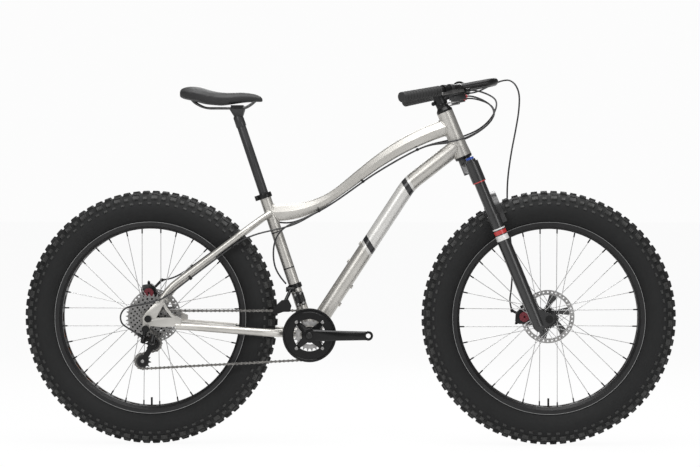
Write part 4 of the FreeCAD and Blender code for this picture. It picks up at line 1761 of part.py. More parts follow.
fd_swing = fd_swing.cut(rod(fd_pivot - X_AXIS * fd_half, fd_pivot + X_AXIS * fd_half, float(d.lever_pin) + float(d.slip_fit)))
keep(shaped("fd_cage_swing", fd_swing), "front_derailleur_cage")

# The control cables, held along their way in arcs
REAR_BRAKE_CABLE_SHARES = (
    (0.3474, -0.1079, 0.8769), (0.3676, -0.0590, 0.8651), (0.3693, -0.0084, 0.8449), (0.3541, 0.0304, 0.8162),
    (0.3272, 0.0455, 0.7926), (0.2909, 0.0438, 0.7757), (0.2462, 0.0320, 0.7639), (0.2024, 0.0118, 0.7544),
    (0.1602, 0.0080, 0.7368), (0.1012, 0.0076, 0.7037), (0.0506, 0.0072, 0.6726), (0.0000, 0.0072, 0.6359),
    (-0.0422, 0.0072, 0.6064), (-0.0927, 0.0080, 0.5781), (-0.1391, 0.0135, 0.5573), (-0.1728, 0.0228, 0.5556),
    (-0.2024, 0.0337, 0.5632), (-0.2260, 0.0472, 0.5666),
)
SHIFT_CABLE_SHARES = (
    (0.3457, -0.0927, 0.8583), (0.3642, -0.0422, 0.8381), (0.3575, 0.0084, 0.8128), (0.3288, 0.0354, 0.7875),
    (0.2884, 0.0363, 0.7656), (0.2462, 0.0236, 0.7572), (0.2024, 0.0034, 0.7535), (0.1602, 0.0000, 0.7364),
    (0.1012, 0.0000, 0.7032), (0.0506, 0.0000, 0.6722), (0.0000, 0.0000, 0.6355), (-0.0422, -0.0008, 0.6060),
    (-0.0885, -0.0042, 0.5799), (-0.1307, -0.0143, 0.5556), (-0.1644, -0.0253, 0.5447),
)
FRONT_SHIFT_CABLE_SHARES = (
    (0.3474, 0.0944, 0.8617), (0.3659, 0.0489, 0.8432), (0.3609, 0.0000, 0.8179), (0.3322, -0.0304, 0.7909),
    (0.2909, -0.0371, 0.7690), (0.2462, -0.0278, 0.7589), (0.2024, -0.0093, 0.7539), (0.1602, -0.0076, 0.7368),
    (0.1012, -0.0072, 0.7037), (0.0506, -0.0072, 0.6726), (0.0000, -0.0072, 0.6359), (-0.0422, -0.0080, 0.6060),
    (-0.0801, -0.0118, 0.5834), (-0.1265, -0.0219, 0.5624), (-0.1644, -0.0287, 0.5464), (-0.1872, -0.0270, 0.5160),
    (-0.1922, -0.0253, 0.4722), (-0.1821, -0.0278, 0.4300),
)
FRONT_BRAKE_CABLE_SHARES = (
    (0.3541, 0.1130, 0.9039), (0.3845, 0.0927, 0.9174), (0.4098, 0.0776, 0.9174), (0.4283, 0.0691, 0.8887),
    (0.4275, 0.0675, 0.8432), (0.4191, 0.0675, 0.7926), (0.4073, 0.0675, 0.7336), (0.3980, 0.0700, 0.6661),
    (0.3971, 0.0750, 0.6071), (0.4013, 0.0826, 0.5523), (0.4081, 0.0894, 0.5017), (0.4115, 0.0911, 0.4553),
    (0.4106, 0.0877, 0.4132), (0.4077, 0.0767, 0.3811),
)
SHIFT_LOOP_SHARES = (
    (-0.4553, -0.0970, 0.3718), (-0.4848, -0.0995, 0.3626), (-0.5126, -0.1020, 0.3558), (-0.5396, -0.1046, 0.3516),
    (-0.5582, -0.1062, 0.3449), (-0.5679, -0.1071, 0.3280), (-0.5645, -0.1071, 0.3086), (-0.5506, -0.1050, 0.2976),
)
CURVE_STEP_SHARE = 0.045


def smooth(points, step):
    """Points a step apart on a curve through the given points."""
    ends = [points[0] * 2 - points[1]] + points + [points[-1] * 2 - points[-2]]
    result = [points[0]]
    for a, b, c, e in zip(ends, ends[1:], ends[2:], ends[3:]):
        count = max(1, round((c - b).Length / step))
        for index in range(1, count + 1):
            t = index / count
            point = b * 2 + (c - a) * t + (a * 2 - b * 5 + c * 4 - e) * (t * t) + (b * 3 - a - c * 3 + e) * (t * t * t)
            result.append(point * 0.5)
    return result


def cable(label, points):
    """A cable swept along a smooth route; the bends and the volume are printed."""
    line = smooth(points, CURVE_STEP_SHARE * float(d.wheel_base))
    wire = route(line)
    bends = [edge.Curve.Radius for edge in wire.Edges if hasattr(edge.Curve, "Radius")]
    solid = pipe(wire, d.cable_radius)
    ideal = math.pi * float(d.cable_radius) ** 2 * wire.Length
    print(label, "length", round(wire.Length), "smallest bend", round(min(bends), 1),
          "volume ratio", round(solid.Volume / ideal, 4), "valid", solid.isValid())
    return solid


def spots(shares):
    return [Vector(x, y, z) * float(d.wheel_base) for x, y, z in shares]


def mirror_of(point):
    return Vector(point.x, -point.y, point.z)


barrel_root = perch_frame.multVec(Vector(float(pivot_x - hub * 1.5), float(pivot_y), float(pivot_z)))
barrel_turn = perch_frame.Rotation.multVec(Vector(barrel_way).normalize())
lever_exit = barrel_root + barrel_turn * float(d.barrel_length + d.face_gap)
lead = float(d.barrel_length) * 1.3
lever_start = [lever_exit, lever_exit + barrel_turn * lead]
pod_turn = pod_mouth.Rotation.multVec(Z_AXIS)
pod_exit = pod_mouth.Base + pod_turn * float(d.barrel_length / 2 + d.face_gap)
pod_start = [pod_exit, pod_exit + pod_turn * lead]


def stay_line(points, rows):
    """Points beside a seat stay: a share of its run, then a lift square to it and a shift to the side."""
    start, end = points[2], points[3]
    run = end - start
    lift = Vector(run.z, 0, -run.x).normalize()
    if lift.z < 0:
        lift = -lift
    return [start + run * share + lift * up + Y_AXIS * out for share, up, out in rows]


beside = float(d.seatstay_radius) * 1.1 + float(d.cable_radius) + gap
on_top = [(0.05, beside * 0.75, beside * 0.75), (0.45, beside, 0.0), (0.85, beside * 1.1, 0.0)]
brake_route = lever_start + spots(REAR_BRAKE_CABLE_SHARES) + stay_line(seatstay_points(1), on_top)
brake_route += [rear_brake.cable_end + rear_brake.cable_way * lead, rear_brake.cable_end]
below = [(0.0, -beside * 1.1, 0.0), (0.4, -beside * 1.1, 0.0), (0.8, -beside * 1.1, -beside * 0.3)]
shift_route = pod_start + spots(SHIFT_CABLE_SHARES) + stay_line(seatstay_points(-1), below)
shift_route += spots(SHIFT_LOOP_SHARES) + [shift_exit]
front_shift_route = [mirror_of(point) for point in pod_start] + spots(FRONT_SHIFT_CABLE_SHARES)
front_shift_route.append(fd_pivot + Vector(-float(d.fd_height), 0, float(d.fd_height) * 1.2))
cables = [cable("rear brake cable", brake_route), cable("rear shift cable", shift_route),
          cable("front shift cable", front_shift_route)]
keep(shaped("cable_set", Part.Compound(cables)), "control_cables")
front_route = [mirror_of(point) for point in lever_start] + spots(FRONT_BRAKE_CABLE_SHARES)
front_route += [front_brake.cable_end + front_brake.cable_way * lead, front_brake.cable_end]
keep(shaped("front_cable", cable("front brake cable", front_route)), "front_brake_cable")

# Check everything and write one file for each sub-part
doc.recompute()
for thing in doc.Objects:
    if "Invalid" in thing.State or "Error" in thing.State:
        raise RuntimeError("%s: %s" % (thing.Name, thing.State))
os.makedirs("parts", exist_ok=True)
for thing in nodes:
    if thing.Shape.isNull() or not thing.Shape.isValid():
        raise RuntimeError("bad shape: " + thing.Label)
    thing.Shape.exportStep("parts/%s.step" % thing.Label)
print(len(nodes), "sub-parts written")
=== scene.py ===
# %% [markdown]
# A fat tire bike, dressed for its portrait.
# The solid parts come from a CAD model in metres: X points forward, Y to the rider's left, Z up.
# They already have the right shapes, so most of them only need a good finish. This lesson adds what a
# solid model leaves out: cable housings, a padded saddle, weld beads, rim strips, bolts and small fittings.

# %% Load the solid parts
import math

import bpy
from mathutils import Matrix, Vector


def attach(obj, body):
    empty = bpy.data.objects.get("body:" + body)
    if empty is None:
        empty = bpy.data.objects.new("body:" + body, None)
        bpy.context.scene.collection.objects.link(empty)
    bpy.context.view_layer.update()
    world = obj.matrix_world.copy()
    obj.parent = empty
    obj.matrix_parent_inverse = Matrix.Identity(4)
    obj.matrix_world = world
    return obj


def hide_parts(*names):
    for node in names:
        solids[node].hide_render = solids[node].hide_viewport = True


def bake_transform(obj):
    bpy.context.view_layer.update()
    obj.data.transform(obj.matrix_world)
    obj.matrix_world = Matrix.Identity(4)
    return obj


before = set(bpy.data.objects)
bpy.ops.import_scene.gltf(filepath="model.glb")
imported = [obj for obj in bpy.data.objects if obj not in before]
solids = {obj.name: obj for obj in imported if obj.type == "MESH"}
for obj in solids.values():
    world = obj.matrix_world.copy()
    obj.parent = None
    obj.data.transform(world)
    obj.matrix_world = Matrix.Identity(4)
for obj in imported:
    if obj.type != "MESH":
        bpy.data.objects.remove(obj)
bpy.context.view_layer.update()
bpy.ops.object.select_all(action="DESELECT")

# %% [markdown]
# The picture was taken from the drive side with a long lens: the far fork leg hides behind the near one, and
# the far grip behind the near grip. So the camera stands well back, a little ahead of the middle, and is
# turned to frame the bike.

# %% Camera
eye, aim = Vector((0.30, -8.5, 0.85)), Vector((0.0013, 0.0, 0.6285))
bpy.ops.object.camera_add(location=eye, rotation=(aim - eye).to_track_quat("-Z", "Y").to_euler())
camera = bpy.context.object
PIXELS_PER_METRE, PICTURE_WIDTH, SENSOR_WIDTH = 335.0, 700, 36
camera.data.sensor_width = SENSOR_WIDTH
camera.data.lens = PIXELS_PER_METRE * (aim - eye).length * SENSOR_WIDTH / PICTURE_WIDTH
bpy.context.scene.camera = camera
bpy.context.scene.view_settings.view_transform = "Standard"
print("camera lens", round(camera.data.lens, 1))

# %% [markdown]
# Most operators work on the selected piece, so a few helpers keep the cells below short. They select a piece,
# put a new one into the scene, apply a modifier, break edges, pick faces, and give a piece its finish.

# %% Helpers


def only(piece):
    """Select one piece alone and make it the active one."""
    bpy.ops.object.select_all(action="DESELECT")
    piece.select_set(True)
    bpy.context.view_layer.objects.active = piece
    return piece


def placed(name, data):
    """Put a mesh or a curve into the scene as the selected piece."""
    piece = bpy.data.objects.new(name, data)
    bpy.context.collection.objects.link(piece)
    return only(piece)


def finish_modifier(piece, kind, **settings):
    """Add a modifier, set it up and apply it."""
    bpy.context.view_layer.objects.active = piece
    modifier = piece.modifiers.new(kind.title(), kind)
    for key, value in settings.items():
        setattr(modifier, key, value)
    bpy.ops.object.modifier_apply(modifier=modifier.name)


def break_edges(piece, width, segments, angle=50):
    """Bevel the edges that turn by more than an angle in degrees."""
    finish_modifier(piece, "BEVEL", width=width, segments=segments, limit_method="ANGLE",
                    angle_limit=math.radians(angle))


def pick_faces(piece, wanted):
    """Go to edit mode with only the faces that pass a test selected."""
    bpy.ops.object.mode_set(mode="EDIT")
    bpy.ops.mesh.select_mode(type="FACE")
    bpy.ops.mesh.select_all(action="DESELECT")
    bpy.ops.object.mode_set(mode="OBJECT")
    for face in piece.data.polygons:
        face.select = wanted(face)
    bpy.ops.object.mode_set(mode="EDIT")


def merge_points(threshold):
    """Go to edit mode and join the points of the active piece that lie together."""
    bpy.ops.object.mode_set(mode="EDIT")
    bpy.ops.mesh.select_all(action="SELECT")
    bpy.ops.mesh.remove_doubles(threshold=threshold)


def dress(piece, material):
    """Give a piece one material."""
    piece.data.materials.clear()
    piece.data.materials.append(material)


def tidy_piece(piece, name, finish, body, angle=35):
    """Name a new piece, give it a finish, put its place in its mesh, and let it ride on a body."""
    piece.name = name
    piece.data.name = name
    only(piece)
    bpy.ops.object.transform_apply(location=True, rotation=True, scale=True)
    bpy.ops.object.shade_smooth_by_angle(angle=math.radians(angle))
    dress(piece, finish.material)
    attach(piece, body)
    return piece


def discard(*pieces):
    """Remove pieces that were only there to be copied."""
    for piece in pieces:
        bpy.data.objects.remove(piece)


print("helpers ready")

# %% [markdown]
# Cable housings are the only slack things on the bike. Each one leaves a lever, sweeps round the head tube,
# and runs along the frame. A NURBS spline is the natural tool, because it bends without kinks, and its
# points are the same ones that the solid model was swept along.

# %% Cable housings
REAR_BRAKE_ROUTE = (
    (0.3565, -0.1858, 1.0509), (0.3761, -0.1729, 1.0512), (0.412, -0.128, 1.04), (0.436, -0.07, 1.026),
    (0.438, -0.01, 1.0021), (0.42, 0.0361, 0.968), (0.3881, 0.054, 0.94), (0.345, 0.0519, 0.92),
    (0.292, 0.038, 0.906), (0.24, 0.014, 0.8947), (0.19, 0.0095, 0.8738), (0.12, 0.009, 0.8346),
    (0.06, 0.0085, 0.7977), (0.0, 0.0085, 0.7542), (-0.05, 0.0085, 0.7192), (-0.1099, 0.0095, 0.6856),
    (-0.165, 0.016, 0.661), (-0.2049, 0.027, 0.6589), (-0.24, 0.04, 0.668), (-0.268, 0.056, 0.672),
    (-0.3298, 0.0836, 0.6338), (-0.4174, 0.0835, 0.5717), (-0.5038, 0.0933, 0.5081),
    (-0.5447, 0.1009, 0.4876), (-0.5679, 0.1009, 0.4848))
REAR_SHIFT_ROUTE = (
    (0.3459, -0.1696, 1.0336), (0.3622, -0.153, 1.0368), (0.41, -0.1099, 1.0179), (0.4319, -0.05, 0.994),
    (0.424, 0.01, 0.964), (0.39, 0.042, 0.934), (0.342, 0.0431, 0.908), (0.292, 0.028, 0.898),
    (0.24, 0.004, 0.8937), (0.19, 0.0, 0.8734), (0.12, 0.0, 0.834), (0.06, 0.0, 0.7972), (0.0, 0.0, 0.7537),
    (-0.05, -0.0009, 0.7187), (-0.105, -0.005, 0.6878), (-0.155, -0.017, 0.6589), (-0.195, -0.03, 0.646),
    (-0.3044, -0.0724, 0.6223), (-0.3899, -0.0822, 0.5576), (-0.4755, -0.0961, 0.4929),
    (-0.54, -0.115, 0.441), (-0.575, -0.118, 0.43), (-0.6079, -0.121, 0.422), (-0.64, -0.1241, 0.417),
    (-0.662, -0.126, 0.4091),
    (-0.6735, -0.127, 0.389), (-0.6695, -0.127, 0.366), (-0.653, -0.1245, 0.353), (-0.621, -0.1166, 0.3337))
FRONT_SHIFT_ROUTE = (
    (0.3459, 0.1696, 1.0336), (0.3622, 0.153, 1.0368), (0.412, 0.112, 1.022), (0.434, 0.058, 1.0),
    (0.428, 0.0, 0.97), (0.394, -0.0361, 0.938), (0.345, -0.044, 0.912), (0.292, -0.033, 0.9001),
    (0.24, -0.011, 0.8941), (0.19, -0.009, 0.8738), (0.12, -0.0085, 0.8346), (0.06, -0.0085, 0.7977),
    (0.0, -0.0085, 0.7542), (-0.05, -0.0095, 0.7187), (-0.095, -0.014, 0.6919), (-0.15, -0.026, 0.667),
    (-0.195, -0.034, 0.648), (-0.222, -0.032, 0.612), (-0.2279, -0.03, 0.56), (-0.216, -0.033, 0.51),
    (-0.1878, -0.0365, 0.4795))
FRONT_BRAKE_ROUTE = (
    (0.3565, 0.1858, 1.0509), (0.3761, 0.1729, 1.0512), (0.42, 0.134, 1.072), (0.456, 0.1099, 1.088),
    (0.486, 0.092, 1.088), (0.508, 0.082, 1.054), (0.507, 0.0801, 1.0), (0.4971, 0.0801, 0.94),
    (0.4831, 0.0801, 0.87), (0.472, 0.083, 0.79), (0.471, 0.089, 0.72), (0.4759, 0.098, 0.655),
    (0.484, 0.106, 0.595), (0.488, 0.108, 0.54), (0.487, 0.104, 0.4901), (0.4835, 0.091, 0.452),
    (0.4782, 0.0774, 0.4215), (0.4849, 0.0774, 0.3991))
HOUSING = 0.005
cable_lines = {}


def housing(name, route, node, bodies, start, end):
    """A cable housing, a tube round a NURBS spline along a route."""
    curve = bpy.data.curves.new(name, "CURVE")
    curve.dimensions = "3D"
    spline = curve.splines.new("NURBS")
    spline.points.add(len(route) - 1)
    for knot, place in zip(spline.points, route):
        knot.co = (*place, 1)
    spline.order_u = 3
    spline.use_endpoint_u = True
    curve.resolution_u = 6
    cable = placed(name, curve)
    bpy.context.view_layer.update()
    line = [vertex.co.copy() for vertex in bpy.data.meshes.new_from_object(cable).vertices]
    length = sum((b - a).length for a, b in zip(line, line[1:]))
    curve.bevel_depth = HOUSING / 2
    curve.bevel_resolution = 3
    curve.use_fill_caps = True
    bpy.ops.object.convert(target="MESH")
    cable = bpy.context.object
    bpy.ops.object.shade_smooth_by_angle(angle=math.radians(50))
    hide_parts(node)
    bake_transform(cable)
    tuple(line[0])
    cable_lines[name] = line
    print(name, "length", round(length, 3))
    return cable


BAR_SIDE, FRAME_SIDE = (0.36, 0.0, 1.03), (0.24, 0.0, 0.894)
CROWN_SIDE, LEG_SIDE = (0.483, 0.08, 0.9), (0.488, 0.1, 0.5)
TO_FRAME = ("control_cables", ("frame", "steerer"), FRAME_SIDE, BAR_SIDE)
TO_LEG = ("front_brake_cable", ("lowers", "steerer"), LEG_SIDE, CROWN_SIDE)
cables = [
    housing("rear_brake_housing", REAR_BRAKE_ROUTE, *TO_FRAME),
    housing("rear_shift_housing", REAR_SHIFT_ROUTE, *TO_FRAME),
    housing("front_shift_housing", FRONT_SHIFT_ROUTE, *TO_FRAME),
    housing("front_brake_housing", FRONT_BRAKE_ROUTE, *TO_LEG)]

# %% [markdown]
# Every finish is a node tree, and node trees are easier to read as sums. The class below wraps one output
# of a node, so that plus, minus and times add Math nodes. Everything else goes through one method, node.

# %% Sums on sockets


class Wire:
    """A node's output that Python's operators can work on."""

    def __init__(self, tree, socket):
        self.tree = tree
        self.socket = socket

    def node(self, kind, settings, inputs, output=0):
        """Add a node, set it up, join its inputs, and give back one of its outputs."""
        made = self.tree.nodes.new(kind)
        for key, value in settings.items():
            if key == "stops":
                for stop, (position, colour) in zip(made.color_ramp.elements, value):
                    stop.position = position
                    stop.color = (*colour, 1)
            else:
                setattr(made, key, value)
        for key, value in inputs.items():
            if isinstance(value, Wire):
                self.tree.links.new(value.socket, made.inputs[key])
            else:
                made.inputs[key].default_value = value
        return Wire(self.tree, made.outputs[output])

    def sum(self, operation, first, second):
        return self.node("ShaderNodeMath", {"operation": operation}, {0: first, 1: second})

    def __add__(self, other):
        return self.sum("ADD", self, other)

    def __radd__(self, other):
        return self.sum("ADD", other, self)

    def __sub__(self, other):
        return self.sum("SUBTRACT", self, other)

    def __rsub__(self, other):
        return self.sum("SUBTRACT", other, self)

    def __mul__(self, other):
        return self.sum("MULTIPLY", self, other)

    def __rmul__(self, other):
        return self.sum("MULTIPLY", other, self)

    def __truediv__(self, other):
        return self.sum("DIVIDE", self, other)

    def __pow__(self, other):
        return self.sum("POWER", self, other)

    def sine(self):
        return self.node("ShaderNodeMath", {"operation": "SINE"}, {0: self})

    def nearest(self):
        """The nearest whole number."""
        return self.node("ShaderNodeMath", {"operation": "ROUND"}, {0: self})

    def most(self, other):
        return self.sum("MAXIMUM", self, other)

    def over(self, low, high):
        """0 below low, 1 above high, and a soft step between."""
        return self.node("ShaderNodeMapRange", {"interpolation_type": "SMOOTHSTEP"},
                         {"Value": self, "From Min": low, "From Max": high})

    def mix(self, low, high):
        """One colour where this is 0, and another where it is 1."""
        low, high = (colour if isinstance(colour, Wire) else (*colour, 1) for colour in (low, high))
        return self.node("ShaderNodeMix", {"data_type": "RGBA"}, {0: self, 6: low, 7: high}, 2)


class Finish:
    """A material on the Principled shader, with the bike's own place as its coordinates."""

    def __init__(self, name, **fixed):
        self.material = bpy.data.materials.new(name)
        self.material.use_nodes = True
        self.tree = self.material.node_tree
        self.shader = self.tree.nodes["Principled BSDF"]
        self.wire = Wire(self.tree, None)
        self.place = self.node("ShaderNodeTexCoord", {}, {}, "Object")
        self.set(fixed)

    def node(self, kind, settings, inputs, output=0):
        return self.wire.node(kind, settings, inputs, output)

    def set(self, sockets):
        for key, value in sockets.items():
            label = key.replace("_", " ").title().replace("Ior", "IOR")
            if isinstance(value, Wire):
                self.tree.links.new(value.socket, self.shader.inputs[label])
            elif isinstance(value, tuple):
                self.shader.inputs[label].default_value = (*value, 1)
            else:
                self.shader.inputs[label].default_value = value

    def part(self, axis):
        """One coordinate of the place: X, Y or Z, in metres."""
        return self.node("ShaderNodeSeparateXYZ", {}, {"Vector": self.place}, axis)

    def along(self, origin, way):
        """How far the place lies from a point, measured along one direction."""
        x, y, z = self.part("X"), self.part("Y"), self.part("Z")
        return (x - origin[0]) * way[0] + (y - origin[1]) * way[1] + (z - origin[2]) * way[2]

    def radius(self, centre):
        """The distance from a wheel's axle line."""
        x, z = self.part("X") - centre[0], self.part("Z") - centre[2]
        return (x * x + z * z) ** 0.5

    def noise(self, scale, detail=3.0):
        inputs = {"Vector": self.place, "Scale": float(scale), "Detail": detail}
        return self.node("ShaderNodeTexNoise", {}, inputs, "Fac")

    def cells(self, scale):
        inputs = {"Vector": self.place, "Scale": float(scale)}
        return self.node("ShaderNodeTexVoronoi", {}, inputs, "Distance")

    def bump(self, height, strength, distance):
        inputs = {"Height": height, "Strength": strength, "Distance": distance}
        self.set({"normal": self.node("ShaderNodeBump", {}, inputs)})


def wear(*names):
    """Give a finish to solid parts by name, and return a function that takes the finish."""

    def give(finish):
        for name in names:
            for slot in solids[name].material_slots:
                slot.material = finish.material
        print(finish.material.name, "on", ", ".join(names))

    return give


# %% [markdown]
# The frame is raw aluminium, bead blasted and sealed with clear lacquer. Blasting gives a fine grain that
# scatters the light, so the finish is a rough metal with a faint grain, and clouds of tone from handling.

# %% Raw aluminium
REAR, FRONT, BRACKET = (-0.593, 0.0, 0.378), (0.593, 0.0, 0.378), (-0.116, 0.0, 0.329)
SEAT_WAY, SLANT = (-0.3173, 0.0, 0.9483), (0.853, 0.0, 0.522)
RAW, SHADE, DARK = (0.55, 0.535, 0.505), (0.44, 0.427, 0.40), (0.012, 0.012, 0.013)
PEARL = (0.62, 0.615, 0.60)
PAINT_EDGE, GRAIN_DEPTH = 0.0003, 0.0003


def band_mask(finish, bands):
    """1 inside painted bands, given as (origin, way, low, high), and 0 elsewhere."""
    painted = None
    for origin, way, low, high in bands:
        run = finish.along(origin, way)
        started = run.over(low - PAINT_EDGE, low + PAINT_EDGE)
        inside = started * (1 - run.over(high - PAINT_EDGE, high + PAINT_EDGE))
        painted = inside if painted is None else painted.most(inside)
    return painted


def raw_alloy(name, bands=(), panel=()):
    """Blasted aluminium with dark bands, and a paler panel where the lacquer is tinted."""
    finish = Finish(name, coat_weight=0.12, coat_roughness=0.25)
    cloud = finish.noise(9)
    grain = finish.noise(420, 3.0)
    colour = (cloud.over(0.35, 0.7) * 0.8 + grain * 0.2).mix(SHADE, RAW)
    metal, rough = 0.86, 0.35 + cloud * 0.1
    if panel:
        tinted = band_mask(finish, panel) * 0.7
        colour = tinted.mix(colour, PEARL)
        metal = metal - tinted * 0.6
    if bands:
        painted = band_mask(finish, bands)
        colour = painted.mix(colour, DARK)
        metal = metal * (1 - painted)
        rough = rough - painted * 0.1
    finish.set({"base_color": colour, "metallic": metal, "roughness": rough})
    finish.bump(grain, 0.05, GRAIN_DEPTH)
    return finish


plain_alloy = raw_alloy("raw_aluminium")
wear("head_tube", "top_tube", "stays", "dropouts", "bottom_bracket_shell")(plain_alloy)
down_bands = ((BRACKET, SLANT, 0.2800, 0.2965), (BRACKET, SLANT, 0.4674, 0.4839))
down_panel = ((BRACKET, SLANT, 0.2720, 0.4919),)
wear("down_tube")(raw_alloy("banded_aluminium", down_bands, down_panel))
seat_bands = ((BRACKET, SEAT_WAY, 0.205, 0.209), (BRACKET, SEAT_WAY, 0.318, 0.322))
wear("seat_tube")(raw_alloy("ringed_aluminium", seat_bands))

# %% [markdown]
# Most fittings are anodised black. Anodising keeps the metal's sheen but hides its colour, so the base is
# nearly black, the roughness wanders a little, and a fine grain breaks up the highlights.

# %% Black anodising


def black_alloy(name, tone=0.009, rough=0.32):
    finish = Finish(name, metallic=0.35, specular_ior_level=0.38)
    cloud = finish.noise(30)
    grain = finish.noise(1200, 2.0)
    finish.set({"base_color": cloud.mix((tone * 0.8,) * 3, (tone * 1.3, tone * 1.3, tone * 1.36)),
                "roughness": rough - 0.06 + cloud * 0.14})
    finish.bump(grain, 0.12, GRAIN_DEPTH)
    return finish


satin_black = black_alloy("satin_black")
wear("headset", "stem", "handlebar", "saddle_clamp", "seat_collar",
     "bottom_bracket", "brake_perches", "front_caliper", "rear_caliper", "front_brake_arm", "rear_brake_arm",
     "front_hub", "rear_hub", "front_axle", "rear_axle",
     "rear_derailleur_body", "rear_derailleur_links", "rear_derailleur_knuckle", "rear_derailleur_cage",
     "front_derailleur_body", "front_derailleur_cage")(satin_black)
post_grey = black_alloy("post_grey", tone=0.034, rough=0.36)
wear("seatpost")(post_grey)
wear("drive_crank", "left_crank")(black_alloy("crank_black", tone=0.006, rough=0.22))
STEER_POINT, STEER_WAY = (0.545882, 0.0, 0.358483), (-0.382683, 0.0, 0.92388)


def fork_enamel(name, stripes):
    """Black enamel with plain stripes round the legs, given as (low, high, colour) up the steering axis."""
    finish = Finish(name, metallic=0.05, coat_weight=0.35, coat_roughness=0.2)
    cloud = finish.noise(30)
    colour = cloud.mix((0.009, 0.009, 0.0095), (0.016, 0.016, 0.0165))
    for low, high, paint in stripes:
        colour = band_mask(finish, ((STEER_POINT, STEER_WAY, low, high),)).mix(colour, paint)
    finish.set({"base_color": colour, "roughness": 0.3 + cloud * 0.12})
    finish.bump(finish.noise(500, 2.0), 0.06, GRAIN_DEPTH)
    return finish


PALE, RED = (0.62, 0.62, 0.61), (0.42, 0.03, 0.03)
LEG_STRIPES = ((0.268, 0.284, PALE), (0.287, 0.299, RED), (0.302, 0.306, PALE))
CROWN_STRIPES = ((0.4515, 0.4545, RED),)
wear("fork_lowers")(fork_enamel("leg_enamel", LEG_STRIPES))
wear("fork_upper")(fork_enamel("crown_enamel", CROWN_STRIPES))

# %% [markdown]
# Bare steel is on the spokes, the rotors, the chain and the toothed wheels. It differs by how it was made:
# spokes are drawn and smooth, rotors are ground in circles, and a chain carries a film of oil.

# %% Steel
NIPPLE_REACH, TRACK_REACH = (0.2508, 0.2514), (0.064, 0.0665)
HOLE_PITCH, HOLE_RIM, HOLES_FROM, HOLES_TO = 0.0095, (0.0026, 0.0031), (0.026, 0.027), (0.064, 0.065)


def bare_steel(name, light, dark, rough, scale):
    finish = Finish(name, metallic=1.0)
    cloud = finish.noise(scale)
    finish.set({"base_color": cloud.over(0.3, 0.7).mix(dark, light), "roughness": rough - 0.08 + cloud * 0.2})
    finish.bump(finish.noise(1500, 2.0), 0.1, 0.0002)
    return finish


def spoke_steel(name, centre):
    """Drawn spokes with dark nipples at the rim."""
    finish = Finish(name, metallic=1.0)
    cloud = finish.noise(200)
    nipple = finish.radius(centre).over(*NIPPLE_REACH)
    drawn = cloud.mix((0.40, 0.40, 0.40), (0.56, 0.56, 0.56))
    finish.set({"base_color": nipple.mix(drawn, (0.02, 0.02, 0.021)), "roughness": 0.25 + cloud * 0.12})
    return finish


def ground_rotor(name, centre):
    """A rotor ground in circles, darker at its carrier."""
    finish = Finish(name, metallic=1.0)
    reach = finish.radius(centre)
    rings = finish.node("ShaderNodeTexNoise", {"noise_dimensions": "1D"},
                        {"W": reach, "Scale": 2600.0, "Detail": 2.0}, "Fac")
    track = reach.over(*TRACK_REACH)
    finish.set({"base_color": track.mix((0.10, 0.10, 0.10), (0.40, 0.395, 0.39)),
                "roughness": 0.24 + rings * 0.22})
    finish.bump(rings, 0.15, 0.0002)
    return finish


wear("rear_spokes")(spoke_steel("rear_spoke_steel", REAR))
wear("front_spokes")(spoke_steel("front_spoke_steel", FRONT))
wear("rear_rotor")(ground_rotor("rear_rotor_steel", REAR))
wear("front_rotor")(ground_rotor("front_rotor_steel", FRONT))
wear("chain")(bare_steel("oiled_chain", (0.32, 0.31, 0.295), (0.09, 0.087, 0.083), 0.34, 260))


def pierced_cogs(name, centre):
    """Stamped cogs with rings of lightening holes, drawn as dots of painted shade round the axle, for the
    dark seen through them.
    """
    finish = Finish(name, metallic=1.0)
    reach = finish.radius(centre)
    turn = finish.node("ShaderNodeMath", {"operation": "ARCTAN2"},
                       {0: finish.part("Z") - centre[2], 1: finish.part("X") - centre[0]})
    row = reach / HOLE_PITCH
    row_near = row.nearest()
    count = row_near * 4 + 2
    step = turn / math.tau * count + row_near * 0.5
    off_turn = (step - step.nearest()) / count * math.tau * reach
    off_row = (row - row_near) * HOLE_PITCH
    # Each hole is a dot of painted shade: the dark that shows through a hole into the cassette.
    hole_shade = 1 - ((off_turn * off_turn + off_row * off_row) ** 0.5).over(*HOLE_RIM)
    hole_shade = hole_shade * reach.over(*HOLES_FROM) * (1 - reach.over(*HOLES_TO))
    cloud = finish.noise(90)
    stamped = cloud.mix((0.24, 0.235, 0.23), (0.40, 0.395, 0.39))
    finish.set({"base_color": hole_shade.mix(stamped, (0.012, 0.012, 0.012)),
                "roughness": 0.26 + cloud * 0.14 + hole_shade * 0.2})
    return finish


wear("cassette")(pierced_cogs("cog_steel", REAR))
wear("chainrings")(bare_steel("ring_steel", (0.5, 0.495, 0.49), (0.34, 0.335, 0.33), 0.34, 90))
wear("saddle_rails")(bare_steel("rail_steel", (0.10, 0.10, 0.10), (0.06, 0.06, 0.06), 0.4, 90))
wear("right_brake_lever", "left_brake_lever", "right_shift_lever", "left_shift_lever")(
    bare_steel("lever_alloy", (0.27, 0.267, 0.263), (0.19, 0.187, 0.184), 0.34, 60))

# %% [markdown]
# The tires are soft rubber with coarse knobs. New rubber is dark and dull, and the crown is painted lighter
# where grit falls on it, partly as dust and partly as a painted highlight on the knob tops. The sidewall
# shows faint rings from its mould, which a bump on the radius gives.

# %% Tire rubber
CROWN_REACH, RIBS_FROM, RIBS_TO = (0.352, 0.374), (0.291, 0.294), (0.318, 0.324)


